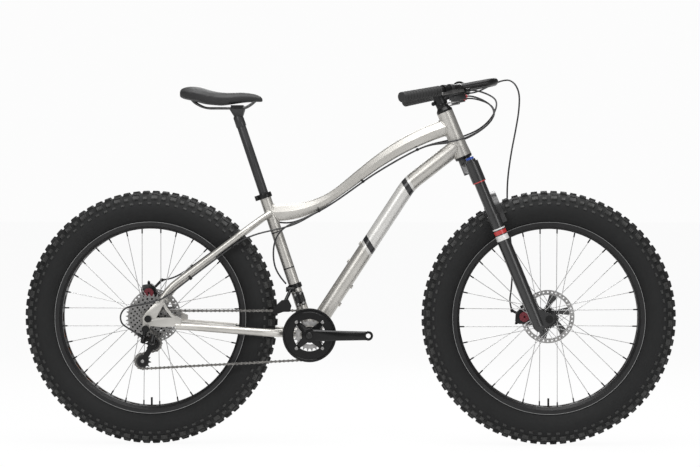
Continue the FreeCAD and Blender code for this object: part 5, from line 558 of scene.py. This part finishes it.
def tire_rubber(name, centre):
    finish = Finish(name, specular_ior_level=0.3)
    reach = finish.radius(centre)
    cloud = finish.noise(35)
    grit = finish.noise(700, 4.0)
    crown = reach.over(*CROWN_REACH)
    base = cloud.mix((0.0055, 0.0058, 0.006), (0.0095, 0.0098, 0.01))
    # The crown is lightened over grit noise: partly dust, partly a painted highlight on the knob tops.
    crown_dust_and_highlight = (crown * grit.over(0.35, 0.75) * 0.45).mix(base, (0.06, 0.059, 0.057))
    ribs = (reach * 2400).sine() * (1 - reach.over(*RIBS_TO)) * reach.over(*RIBS_FROM)
    finish.set({"base_color": crown_dust_and_highlight, "roughness": 0.58 + grit * 0.25})
    finish.bump(grit * 0.5 + ribs * 0.6, 0.45, 0.0006)
    return finish


wear("rear_tire")(tire_rubber("rear_tire_rubber", REAR))
wear("front_tire")(tire_rubber("front_tire_rubber", FRONT))

# %% [markdown]
# The rims are black with a thin bright line where the edge was turned clean. The line is a matter of radius,
# so the same sum that found the tire's crown finds it.

# %% Rims
BRIGHT_REACH = (0.2846, 0.2849)


def rim_black(name, centre):
    finish = Finish(name)
    reach = finish.radius(centre)
    cloud = finish.noise(40)
    bright = reach.over(*BRIGHT_REACH)
    black = cloud.mix((0.008, 0.008, 0.0085), (0.014, 0.014, 0.0145))
    finish.set({"base_color": bright.mix(black, (0.34, 0.34, 0.34)),
                "metallic": 0.3 + bright * 0.6, "roughness": 0.34 + cloud * 0.12 - bright * 0.08})
    finish.bump(finish.noise(900, 2.0), 0.1, GRAIN_DEPTH)
    return finish


wear("rear_rim")(rim_black("rear_rim_black", REAR))
wear("front_rim")(rim_black("front_rim_black", FRONT))

# %% [markdown]
# Moulded plastic has a fine texture from its mould, and a soft sheen. Rubber grips are duller still.

# %% Plastics and grips


def moulded(name, colour, rough=0.45):
    finish = Finish(name)
    cloud = finish.noise(60)
    finish.set({"base_color": cloud.mix(tuple(c * 0.8 for c in colour), tuple(c * 1.15 for c in colour)),
                "roughness": rough - 0.08 + cloud * 0.16})
    finish.bump(finish.noise(1400, 2.0), 0.2, GRAIN_DEPTH)
    return finish


black_plastic = moulded("black_plastic", (0.02, 0.02, 0.021), 0.42)
red_plastic = moulded("red_knob_plastic", (0.17, 0.02, 0.03), 0.38)
wear("shifter_pods", "guide_pulley", "tension_pulley")(black_plastic)
wear("front_pad_knob", "rear_pad_knob")(red_plastic)
wear("lockout_dial")(moulded("dial_blue", (0.02, 0.07, 0.34), 0.36))
grip_rubber = moulded("grip_rubber", (0.022, 0.022, 0.022), 0.68)
wear("grips")(grip_rubber)
housing_plastic = moulded("housing_plastic", (0.016, 0.016, 0.017), 0.34)
for cable in cables:
    dress(cable, housing_plastic.material)

# %% [markdown]
# The saddle is a foam pad under a stretched cover. A cloth simulation with a little air pressure rounds the
# solid's edges the way a tight cover does. The copy is remeshed first, so that its cloth has even cells.

# %% Saddle
COVER_CELL, COVER_PRESSURE, CLOTH_FRAMES, SWELL = 0.004, 3.0, 14, 0.003
saddle = placed("saddle_cover", solids["saddle"].data.copy())
merge_points(0.0001)
bpy.ops.object.mode_set(mode="OBJECT")
finish_modifier(saddle, "REMESH", mode="VOXEL", voxel_size=COVER_CELL)
finish_modifier(saddle, "SMOOTH", factor=0.5, iterations=4)
before = [vertex.co.copy() for vertex in saddle.data.vertices]
cloth = saddle.modifiers.new("Cloth", "CLOTH")
cloth.settings.use_pressure = True
cloth.settings.uniform_pressure_force = COVER_PRESSURE
cloth.settings.effector_weights.gravity = 0.0
cloth.point_cache.frame_start, cloth.point_cache.frame_end = 1, CLOTH_FRAMES
for step in range(1, CLOTH_FRAMES + 1):
    bpy.context.scene.frame_set(step)
bpy.ops.object.modifier_apply(modifier="Cloth")
for vertex, start in zip(saddle.data.vertices, before):
    move = vertex.co - start
    if move.length > SWELL:
        vertex.co = start + move.normalized() * SWELL
bpy.context.scene.frame_set(1)
finish_modifier(saddle, "SMOOTH", factor=0.5, iterations=3)
bpy.ops.object.shade_smooth()
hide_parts("saddle")
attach(saddle, "seat")
saddle_cover = Finish("saddle_vinyl", specular_ior_level=0.35)
grain = saddle_cover.cells(700)
tone = saddle_cover.noise(25)
saddle_cover.set({"base_color": tone.mix((0.014, 0.014, 0.0145), (0.026, 0.026, 0.0265)),
                  "roughness": 0.46 + tone * 0.14})
saddle_cover.bump(grain, 0.25, 0.0004)
dress(saddle, saddle_cover.material)
print("saddle cover", len(saddle.data.vertices), "points")

# %% [markdown]
# Inside each rim lies a coloured cloth strip that keeps the tube off the windows. It is a thin band, turned
# round the axle. A cylinder with its caps removed and a thickness given by Solidify is enough.

# %% Rim strips
STRIP_RADIUS, STRIP_WIDTH, STRIP_THICKNESS = 0.2688, 0.05, 0.0006
WHEELS = (("rear", REAR), ("front", FRONT))
strip_orange = moulded("strip_orange", (0.62, 0.17, 0.02), 0.6)
for end, centre in WHEELS:
    bpy.ops.mesh.primitive_cylinder_add(vertices=128, radius=STRIP_RADIUS, depth=STRIP_WIDTH,
                                        end_fill_type="NOTHING", location=centre,
                                        rotation=(math.pi / 2, 0, 0))
    strip = bpy.context.object
    finish_modifier(strip, "SOLIDIFY", thickness=STRIP_THICKNESS, offset=1.0)
    tidy_piece(strip, end + "_rim_strip", strip_orange, end + "_wheel")
    print(strip.name, len(strip.data.vertices), "points")

# %% [markdown]
# A welded frame shows a row of overlapping beads round each joint. The joint's line is read from the solid
# tube itself: the points where it was trimmed by its neighbour. A closed curve runs along them, and its
# thickness swells and shrinks, which looks like the ripples of a torch.

# %% Weld beads
BEAD, RIPPLES, BEAD_POINTS = 0.0024, (1.0, 1.18, 0.8), 120
SECTORS, INNER_SHARE = 48, 0.35


def trimmed_edge(node, point, way, radius, slack, keep):
    """The outer rim of a tube's trimmed end, as points in order round it."""
    point, way = Vector(point), Vector(way).normalized()
    found = []
    for vertex in solids[node].data.vertices:
        offset = vertex.co - point
        away = offset - way * offset.dot(way)
        if abs(away.length - radius) < slack and keep(vertex.co):
            found.append(vertex.co.copy())
    centre = sum(found, Vector()) / len(found)
    outward = centre - point
    outward = (outward - way * outward.dot(way)).normalized()
    side = way.cross(outward)
    best = {}
    for place in found:
        offset = place - centre
        across, up = offset.dot(side), offset.dot(way)
        turn = math.atan2(up, across) % math.tau
        key = int(turn / math.tau * SECTORS)
        reach = math.hypot(across, up)
        if key not in best or reach > best[key][1]:
            best[key] = (turn, reach, place)
    ordered = sorted(best.values())
    widest = max(row[1] for row in ordered)
    ordered = [row for row in ordered if row[1] > widest * INNER_SHARE]
    first, last = ordered[0], ordered[-1]
    wrapped = [(last[0] - math.tau, *last[1:]), *ordered, (first[0] + math.tau, *first[1:])]
    line = []
    for index in range(BEAD_POINTS):
        turn = math.tau * index / BEAD_POINTS
        after = next(row for row in wrapped if row[0] >= turn)
        before = next(row for row in reversed(wrapped) if row[0] < turn)
        share = (turn - before[0]) / max(after[0] - before[0], 1e-6)
        line.append(before[2].lerp(after[2], share))
    for _ in range(2):
        line = [(a + b * 2 + c) / 4 for a, b, c in zip(line[-1:] + line[:-1], line, line[1:] + line[:1])]
    return line


def weld(name, line):
    """A rippled bead along a closed line."""
    curve = bpy.data.curves.new(name, "CURVE")
    curve.dimensions = "3D"
    spline = curve.splines.new("POLY")
    spline.points.add(len(line) - 1)
    for index, (knot, place) in enumerate(zip(spline.points, line)):
        knot.co = (*place, 1)
        knot.radius = RIPPLES[index % len(RIPPLES)]
    spline.use_cyclic_u = True
    curve.bevel_depth = BEAD
    curve.bevel_resolution = 2
    placed(name, curve)
    bpy.ops.object.convert(target="MESH")
    tidy_piece(bpy.context.object, name, plain_alloy, "frame", 60)
    print(name, "round", round(sum((b - a).length for a, b in zip(line, line[1:])), 3))


HEAD_TUBE = (STEER_POINT, STEER_WAY, 0.0248, 0.0022)
SEAT_TUBE = (BRACKET, SEAT_WAY, 0.017, 0.0008)
CRANK_SHELL = (BRACKET, (0, 1, 0), 0.0245, 0.0006)
WELDS = (
    ("weld_top_tube_head", "top_tube", HEAD_TUBE, lambda p: p.x > 0.2),
    ("weld_down_tube_head", "down_tube", HEAD_TUBE, lambda p: p.x > 0.2),
    ("weld_top_tube_seat", "top_tube", SEAT_TUBE, lambda p: p.x < 0),
    ("weld_down_tube_bracket", "down_tube", CRANK_SHELL, lambda p: p.x < 0),
    ("weld_seat_tube_bracket", "seat_tube", CRANK_SHELL, lambda p: True),
    ("weld_right_seatstay", "stays", SEAT_TUBE, lambda p: p.y < 0 and p.z > 0.6),
    ("weld_right_chainstay", "stays", CRANK_SHELL, lambda p: p.y < 0 and p.z < 0.45),
    ("weld_left_seatstay", "stays", SEAT_TUBE, lambda p: p.y > 0 and p.z > 0.6),
    ("weld_left_chainstay", "stays", CRANK_SHELL, lambda p: p.y > 0 and p.z < 0.45))
for name, node, joint, keep in WELDS:
    weld(name, trimmed_edge(node, *joint, keep))

# %% [markdown]
# Machined and forged fittings never have knife edges. The solid parts do, so the blocky ones are copied,
# their flat faces are joined up again, and a bevel breaks every sharp edge. Each copy stands in for its part.

# %% Softened edges
SOFT_WIDTH, SAME_POINT = 0.0009, 0.00002


def softened(node, body):
    """A copy of a solid part with its sharp edges rounded over."""
    piece = placed(node + "_softened", solids[node].data.copy())
    bpy.ops.mesh.customdata_custom_splitnormals_clear()
    merge_points(SAME_POINT)
    bpy.ops.mesh.dissolve_limited(angle_limit=math.radians(0.5))
    bpy.ops.object.mode_set(mode="OBJECT")
    break_edges(piece, SOFT_WIDTH, 2, 40)
    bpy.ops.object.shade_smooth_by_angle(angle=math.radians(35))
    dress(piece, solids[node].material_slots[0].material)
    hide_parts(node)
    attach(piece, body)
    print(piece.name, len(piece.data.polygons), "faces")


SOFTENED = {
    "stem": "steerer", "brake_perches": "steerer", "shifter_pods": "steerer",
    "right_brake_lever": "right_blade", "left_brake_lever": "left_blade",
    "right_shift_lever": "right_thumb", "left_shift_lever": "left_thumb",
    "front_caliper": "lowers", "rear_caliper": "frame", "dropouts": "frame",
    "drive_crank": "crankset", "left_crank": "crankset", "seat_collar": "frame"}
for node, body in SOFTENED.items():
    softened(node, body)

# %% [markdown]
# The seatpost is a tube with a forged head that cradles the saddle's rails. The tube is a cylinder along the
# seat tube's line, with a thicker neck. The head starts as a block: its underside is drawn in to meet the
# neck, and a wide bevel rounds it like a forging.

# %% Seatpost
POST, NECK = (0.0136, 0.3045, 0.688), (0.0152, 0.652, 0.684)
HEAD_SPOT, HEAD_SIZE = (-0.3355, 0, 0.9898), (0.047, 0.058, 0.0244)
UNDERSIDE_SHARE, UNDERSIDE_SHIFT = (0.58, 0.44, 1), (0.004, 0, 0)
ROUND_EDGE, FORGED_EDGE = 0.0012, 0.0035


def post_spot(run):
    """A point up the seat tube's line, measured from the crank's axis."""
    return Vector(BRACKET) + Vector(SEAT_WAY) * run


def rod(radius, low, high):
    """A round bar up the seat tube's line."""
    bpy.ops.mesh.primitive_cylinder_add(vertices=48, radius=radius, depth=high - low,
                                        location=post_spot((low + high) / 2),
                                        rotation=Vector(SEAT_WAY).to_track_quat("Z", "Y").to_euler())
    bar = bpy.context.object
    break_edges(bar, ROUND_EDGE, 2)
    return bar


tube, neck = rod(*POST), rod(*NECK)
bpy.ops.mesh.primitive_cube_add(size=1, location=HEAD_SPOT)
head = bpy.context.object
head.scale = HEAD_SIZE
bpy.ops.object.transform_apply(location=False, rotation=False, scale=True)
pick_faces(head, lambda face: face.normal.z < -0.9)
bpy.ops.transform.resize(value=UNDERSIDE_SHARE)
bpy.ops.transform.translate(value=UNDERSIDE_SHIFT)
bpy.ops.object.mode_set(mode="OBJECT")
break_edges(head, FORGED_EDGE, 3, 30)
for piece in (tube, neck, head):
    piece.select_set(True)
bpy.context.view_layer.objects.active = tube
bpy.ops.object.join()
seatpost = tidy_piece(tube, "forged_seatpost", post_grey, "seat")
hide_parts("seatpost")
print("seatpost", len(seatpost.data.polygons), "faces")

# %% [markdown]
# The tread wraps round the tire's shoulder. Its knobs stand on the slope between the crown and the sidewall,
# in rows that fall between the rows above. One knob is modelled as a tapered block with a dished top, then
# set round the wheel. The slope is an arc, so a knob's place follows from the arc's centre and an angle.

# %% Shoulder knobs
ARC_REACH, ARC_SIDE, ARC_RADIUS = 0.32552, 0.00579, 0.05023
KNOBS_ROUND, TOP_SHARE, DISH_SHARE = 40, (0.86, 0.8, 1), 0.16
LARGE_KNOB, SMALL_KNOB = (0.021, 0.014, 0.0045, 0.0015), (0.014, 0.011, 0.004, 0.0015)
SIDE_KNOB = (0.012, 0.007, 0.0024, 0.001)
# Knob rubber is coloured lighter than the tire's rubber as a painted highlight on the knobs, in random
# scuffed patches.
knob_rubber = Finish("knob_rubber", specular_ior_level=0.45)
scuff_and_highlight = knob_rubber.noise(260, 4.0)
knob_rubber.set({"base_color": scuff_and_highlight.over(0.35, 0.7).mix((0.014, 0.014, 0.014), (0.045, 0.045, 0.0435)),
                 "roughness": 0.5 + scuff_and_highlight * 0.3})
knob_rubber.bump(scuff_and_highlight, 0.3, 0.0005)


def tapered_block(length, width, height, sunk):
    """A block that narrows toward its top, with a shallow dish in the top."""
    bpy.ops.mesh.primitive_cube_add(size=1, location=(0, 0, height / 2 - sunk / 2))
    block = bpy.context.object
    block.scale = (length, width, height + sunk)
    bpy.ops.object.transform_apply(location=True, rotation=True, scale=True)
    pick_faces(block, lambda face: face.normal.z > 0.9)
    bpy.ops.transform.resize(value=TOP_SHARE)
    bpy.ops.mesh.inset(thickness=min(length, width) * DISH_SHARE)
    bpy.ops.transform.translate(value=(0, 0, -height * DISH_SHARE))
    bpy.ops.object.mode_set(mode="OBJECT")
    return block


def scatter(master, name, frames, finish, body, angle=35):
    """Copies of one modelled piece at several places, joined into one piece on a body."""
    bpy.ops.object.select_all(action="DESELECT")
    for place in frames:
        copy = master.copy()
        copy.data = master.data.copy()
        copy.matrix_world = place
        bpy.context.collection.objects.link(copy)
        copy.select_set(True)
    bpy.context.view_layer.objects.active = copy
    if len(frames) > 1:
        bpy.ops.object.join()
    tidy_piece(bpy.context.object, name, finish, body, angle)
    print(name, "from", len(frames), "copies")


def shoulder_frames(centre, slope, phase):
    """Places for knobs round both shoulders of a tire, at one angle of slope."""
    frames = []
    for side in (-1, 1):
        for index in range(KNOBS_ROUND):
            turn = math.tau * (index + phase) / KNOBS_ROUND
            out = Vector((math.cos(turn), 0, math.sin(turn)))
            roll = Vector((-math.sin(turn), 0, math.cos(turn)))
            across = Vector((0, side, 0))
            normal = out * math.sin(slope) + across * math.cos(slope)
            point = Vector(centre) + out * ARC_REACH + across * ARC_SIDE + normal * ARC_RADIUS
            turned = Matrix((roll, normal.cross(roll), normal)).transposed().to_4x4()
            frames.append(Matrix.Translation(point) @ turned)
    return frames


large_knob, small_knob, side_knob = (tapered_block(*size) for size in (LARGE_KNOB, SMALL_KNOB, SIDE_KNOB))
KNOB_ROWS = (
    (large_knob, "large", 40, (0.75,)),
    (small_knob, "small", 37, (0.25,)),
    (side_knob, "side", 19, (0.0, 0.5)))
for end, centre in WHEELS:
    for master, label, slope, phases in KNOB_ROWS:
        frames = [place for phase in phases for place in shoulder_frames(centre, math.radians(slope), phase)]
        scatter(master, "%s_%s_knobs" % (end, label), frames, knob_rubber, end + "_wheel", 25)
discard(large_knob, small_knob, side_knob)

# %% [markdown]
# The ring outside the chainwheels is a turned guard. Its section is drawn once, as a plate with a raised rim
# and a groove, and spun round the crank's axis.

# %% Chain guard
GUARD_SECTION = (
    (0.0480, -0.0787), (0.0795, -0.0787), (0.0800, -0.0792), (0.0800, -0.0828), (0.0794, -0.0834),
    (0.0745, -0.0834), (0.0738, -0.0827), (0.0725, -0.0818), (0.0690, -0.0818), (0.0682, -0.0824),
    (0.0490, -0.0824), (0.0480, -0.0815))


def turned(name, section, centre, finish, body):
    """A section of (radius, sideways) points spun round an axle line."""
    points = [(centre[0] + reach, centre[1] + side, centre[2]) for reach, side in section]
    edges = [(index, (index + 1) % len(points)) for index in range(len(points))]
    mesh = bpy.data.meshes.new(name)
    mesh.from_pydata(points, edges, [])
    piece = placed(name, mesh)
    bpy.ops.object.mode_set(mode="EDIT")
    bpy.ops.mesh.select_all(action="SELECT")
    bpy.ops.mesh.spin(steps=96, angle=math.tau, center=centre, axis=(0, 1, 0))
    merge_points(SAME_POINT)
    bpy.ops.mesh.normals_make_consistent(inside=False)
    bpy.ops.object.mode_set(mode="OBJECT")
    print(name, len(piece.data.polygons), "faces")
    return tidy_piece(piece, name, finish, body, 30)


guard_black = black_alloy("guard_black", tone=0.009, rough=0.2)
wear("bash_guard")(guard_black)
guard = turned("turned_guard", GUARD_SECTION, BRACKET, guard_black, "crankset")
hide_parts("bash_guard")

# %% [markdown]
# Bolts hold the guard, the rotors, the pulleys and the crank. One cap bolt is modelled: a short cylinder with
# its rim broken by a bevel and a hexagon sunk in its head. The copies are turned to face the right way.

# %% Bolts
OUT, IN = (0, -1, 0), (0, 1, 0)
GUIDE, TENSION = (-0.5783, 0.0, 0.304), (-0.6108, 0.0, 0.2517)
GUARD_FACE, FRONT_ROTOR_FACE, REAR_ROTOR_FACE = -0.0824, 0.0605, 0.084
GUARD_BOLT_REACH, ROTOR_BOLT_REACH, CRANK_EYE, PULLEY_EYE = 0.0545, 0.022, 0.014, 0.012
CAP_RADIUS, CAP_DEPTH, CAP_RUN, CAP_BOLT_RUN = 0.0166, 0.005, 0.7595, 0.762
SMALL_BOLT, RING_BOLT, WIDE_BOLT = (0.0034, 0.0018), (0.005, 0.0022), (0.0095, 0.0035)
KEY_SHARE, RIM_SHARE = 0.55, 0.12
bolt_steel = bare_steel("bolt_steel", (0.46, 0.455, 0.45), (0.3, 0.295, 0.29), 0.3, 400)
black_bolt = bare_steel("black_bolt", (0.07, 0.07, 0.07), (0.035, 0.035, 0.035), 0.34, 400)


def cap_bolt(radius, height):
    """A cap bolt along Z, its head's top at the given height."""
    bpy.ops.mesh.primitive_cylinder_add(vertices=24, radius=radius, depth=height * 2)
    head = bpy.context.object
    bpy.ops.mesh.primitive_cylinder_add(vertices=6, radius=radius * KEY_SHARE, depth=height,
                                        location=(0, 0, height))
    key = bpy.context.object
    break_edges(head, radius * RIM_SHARE, 1)
    finish_modifier(head, "BOOLEAN", operation="DIFFERENCE", object=key)
    discard(key)
    return head


def facing(point, way):
    """A place whose Z axis points a given way."""
    return Matrix.Translation(point) @ Vector(way).to_track_quat("Z", "Y").to_matrix().to_4x4()


def on_face(node, centre, within, way):
    """A place on the outermost face of a part near an axle line, looking along Y."""
    rows = [vertex.co.y for vertex in solids[node].data.vertices
            if math.hypot(vertex.co.x - centre[0], vertex.co.z - centre[2]) < within]
    return facing((centre[0], (min if way == OUT else max)(rows), centre[2]), way)


def ring_frames(centre, reach, side, way, count, start=0.0):
    """Places evenly round an axle line."""
    turns = [start + math.tau * index / count for index in range(count)]
    return [facing((centre[0] + reach * math.cos(turn), side, centre[2] + reach * math.sin(turn)), way)
            for turn in turns]


def up_steerer(run):
    """A place on the steering axis, facing up it."""
    return facing(Vector(STEER_POINT) + Vector(STEER_WAY) * run, STEER_WAY)


small_bolt, ring_bolt, wide_bolt = cap_bolt(*SMALL_BOLT), cap_bolt(*RING_BOLT), cap_bolt(*WIDE_BOLT)
guard_spots = ring_frames(BRACKET, GUARD_BOLT_REACH, GUARD_FACE, OUT, 4, math.pi / 4)
scatter(ring_bolt, "guard_bolts", guard_spots, bolt_steel, "crankset")
scatter(wide_bolt, "crank_bolt", [on_face("drive_crank", BRACKET, CRANK_EYE, OUT)], black_bolt, "crankset")
scatter(wide_bolt, "left_crank_bolt", [on_face("left_crank", BRACKET, CRANK_EYE, IN)], black_bolt, "crankset")
front_spots = ring_frames(FRONT, ROTOR_BOLT_REACH, FRONT_ROTOR_FACE, IN, 6)
scatter(small_bolt, "front_rotor_bolts", front_spots, bolt_steel, "front_wheel")
rear_spots = ring_frames(REAR, ROTOR_BOLT_REACH, REAR_ROTOR_FACE, IN, 6)
scatter(small_bolt, "rear_rotor_bolts", rear_spots, bolt_steel, "rear_wheel")
cage_spots = [on_face("rear_derailleur_cage", spot, PULLEY_EYE, OUT) for spot in (GUIDE, TENSION)]
scatter(ring_bolt, "cage_bolts", cage_spots, bolt_steel, "derailleur_cage")
bpy.ops.mesh.primitive_cylinder_add(vertices=48, radius=CAP_RADIUS, depth=CAP_DEPTH)
cap = bpy.context.object
break_edges(cap, ROUND_EDGE, 3)
scatter(cap, "top_cap", [up_steerer(CAP_RUN)], satin_black, "steerer")
scatter(ring_bolt, "top_cap_bolt", [up_steerer(CAP_BOLT_RUN)], bolt_steel, "steerer")
discard(small_bolt, ring_bolt, wide_bolt, cap)

# %% [markdown]
# Small things hold the cables. A ferrule caps each end of a housing, and clips carry the housings under the
# top tube and along the stays. A ferrule is a short sleeve with a lip; a clip is a block with softened edges.

# %% Ferrules and clips
UNDER_TOP_TUBE, CLIP_LIFT = (0.203, 0.0375, -0.09), 0.001
ON_RIGHT_STAY, ON_LEFT_STAY = (-0.345, -0.47), (-0.36, -0.48)
FERRULE, BARREL, LIP_SHARE, LIP_DEPTH, SLEEVE_EDGE = (0.0031, 0.011), (0.0042, 0.006), 1.25, 0.2, 0.0004
TUBE_CLIP, STAY_CLIP, CLIP_EDGE_SHARE = (0.0075, 0.028, 0.0085), (0.009, 0.0085, 0.0105), 0.25


def sleeve(radius, length):
    """A short sleeve along Z with a raised lip at its near end."""
    bpy.ops.mesh.primitive_cylinder_add(vertices=20, radius=radius, depth=length, location=(0, 0, length / 2))
    tube = bpy.context.object
    pick_faces(tube, lambda face: face.normal.z < -0.9)
    bpy.ops.mesh.inset(thickness=0.0)
    bpy.ops.transform.resize(value=(LIP_SHARE, LIP_SHARE, 1))
    bpy.ops.mesh.extrude_region_move(TRANSFORM_OT_translate={"value": (0, 0, -length * LIP_DEPTH)})
    bpy.ops.object.mode_set(mode="OBJECT")
    break_edges(tube, SLEEVE_EDGE, 1)
    return tube


def clip_block(size):
    """A block with softened edges."""
    bpy.ops.mesh.primitive_cube_add(size=1)
    block = bpy.context.object
    block.scale = size
    bpy.ops.object.transform_apply(location=True, rotation=True, scale=True)
    break_edges(block, min(size) * CLIP_EDGE_SHARE, 3)
    return block


def beside(name, reach, lift=0.0):
    """A place on a housing, nearest to a distance along X, with its X axis along the housing."""
    line = cable_lines[name]
    index = min(range(2, len(line) - 2), key=lambda step: abs(line[step].x - reach))
    way = (line[index + 1] - line[index - 1]).normalized()
    along = way.to_track_quat("X", "Z").to_matrix().to_4x4()
    return Matrix.Translation(line[index] + Vector((0, 0, lift))) @ along


ferrule, barrel = sleeve(*FERRULE), sleeve(*BARREL)
starts = [facing(line[0], line[3] - line[0]) for line in cable_lines.values()]
ends = [facing(line[-1], line[-4] - line[-1]) for line in cable_lines.values()]
scatter(ferrule, "lever_ferrules", starts, black_plastic, "steerer")
scatter(ferrule, "frame_ferrules", ends[:2], black_plastic, "frame")
scatter(ferrule, "caliper_ferrule", ends[3:], black_plastic, "lowers")
barrel_red = moulded("barrel_red", (0.4, 0.02, 0.03), 0.4)
scatter(barrel, "adjuster_barrels", starts[1:3], barrel_red, "steerer")
tube_clip, stay_clip = clip_block(TUBE_CLIP), clip_block(STAY_CLIP)
under = [beside("rear_shift_housing", reach, CLIP_LIFT) for reach in UNDER_TOP_TUBE]
scatter(tube_clip, "top_tube_clips", under, satin_black, "frame")
along_stays = [beside("rear_shift_housing", reach) for reach in ON_RIGHT_STAY]
along_stays += [beside("rear_brake_housing", reach) for reach in ON_LEFT_STAY]
scatter(stay_clip, "stay_clips", along_stays, satin_black, "frame")
discard(ferrule, barrel, tube_clip, stay_clip)

# %% [markdown]
# The front derailleur hangs below its clamp. Its housing is a softened block against the seat tube, with two
# plates outside it and the pins that join them.

# %% Front derailleur
BLOCK_SPOT, PLATE_RUN, PIN_RUNS = (0.113, 0.004, -0.026), 0.11, (0.095, 0.125)
PLATE_SPOTS, PLATE_SIDE, PIN_SIDE = (-0.005, 0.011), -0.0395, -0.0415
BLOCK_SIZE, PLATE_SIZE, PIN_SIZE = (0.024, 0.03, 0.036), (0.004, 0.01, 0.042), (0.0036, 0.0016)


def on_seat_tube(run, forward, side):
    """A place beside the seat tube, with its Z axis up the tube."""
    ahead = Vector((SEAT_WAY[2], 0, -SEAT_WAY[0]))
    return facing(post_spot(run) + ahead * forward + Vector((0, side, 0)), SEAT_WAY)


shift_block, shift_plate, shift_pin = clip_block(BLOCK_SIZE), clip_block(PLATE_SIZE), cap_bolt(*PIN_SIZE)
scatter(shift_block, "front_derailleur_block", [on_seat_tube(*BLOCK_SPOT)], satin_black, "frame")
plates = [on_seat_tube(PLATE_RUN, forward, PLATE_SIDE) for forward in PLATE_SPOTS]
scatter(shift_plate, "front_derailleur_plates", plates, black_bolt, "frame")
pins = [facing(on_seat_tube(run, forward, PIN_SIDE).translation, OUT)
        for run in PIN_RUNS for forward in PLATE_SPOTS]
scatter(shift_pin, "front_derailleur_pins", pins, bolt_steel, "frame")
discard(shift_block, shift_plate, shift_pin)

# %% [markdown]
# The floor and the backdrop are one pale sweep, and the light is soft and even, as in a catalogue studio.
# The camera sees a plain white world, while the bike is lit at an ordinary level.

# %% Floor, backdrop and light
FLOOR_SEEN, FLOOR_MIRRORED, WORLD_LIGHT, WORLD_SEEN = 0.95, 0.5, 0.22, 0.755
bpy.ops.mesh.primitive_plane_add(size=60, location=(0, 0, 0))
floor = bpy.context.object
floor.name = "floor"
paper = Finish("floor_paper", roughness=0.9, base_color=(0.86, 0.86, 0.86))
seen = paper.node("ShaderNodeLightPath", {}, {}, "Is Camera Ray")
shiny = paper.node("ShaderNodeLightPath", {}, {}, "Is Glossy Ray")
glow = paper.node("ShaderNodeEmission", {}, {"Color": (1, 1, 1, 1), "Strength": 1.0})
share = (seen * FLOOR_SEEN).most(shiny * FLOOR_MIRRORED)
shaded = Wire(paper.tree, paper.shader.outputs[0])
both = paper.node("ShaderNodeMixShader", {}, {0: share, 1: shaded, 2: glow})
paper.tree.links.new(both.socket, paper.tree.nodes["Material Output"].inputs["Surface"])
paper.material.cycles.emission_sampling = "NONE"
floor.data.materials.append(paper.material)

world = bpy.context.scene.world or bpy.data.worlds.new("studio")
bpy.context.scene.world = world
world.use_nodes = True
sky = world.node_tree
sky.nodes.clear()
studio = Wire(sky, None)
seen = studio.node("ShaderNodeLightPath", {}, {}, "Is Camera Ray")
strength = WORLD_LIGHT + seen * WORLD_SEEN
backdrop = studio.node("ShaderNodeBackground", {}, {"Color": (1, 1, 1, 1), "Strength": strength})
ground = sky.nodes.new("ShaderNodeOutputWorld")
sky.links.new(backdrop.socket, ground.inputs["Surface"])

SOFTBOXES = (
    ("top_light", (0.1, -0.5, 3.2), (0, 0, 0.4), 2.6, 112),
    ("key_light", (-1.6, -3.2, 2.2), (0, 0, 0.5), 1.6, 48),
    ("fill_light", (2.4, -2.8, 1.2), (0, 0, 0.5), 1.4, 24),
    ("back_light", (0.2, 2.6, 2.2), (0, 0, 0.6), 1.8, 35))
for name, place, target, size, power in SOFTBOXES:
    bpy.ops.object.light_add(type="AREA", location=place)
    lamp = bpy.context.object
    lamp.name = name
    lamp.data.shape = "SQUARE"
    lamp.data.size = size
    lamp.data.energy = power
    lamp.rotation_euler = (Vector(target) - Vector(place)).to_track_quat("-Z", "Y").to_euler()
print(len(SOFTBOXES), "lamps ready")

# %% [markdown]
# Last, the scene is brought up to date.

# %% Finish
bpy.context.view_layer.update()
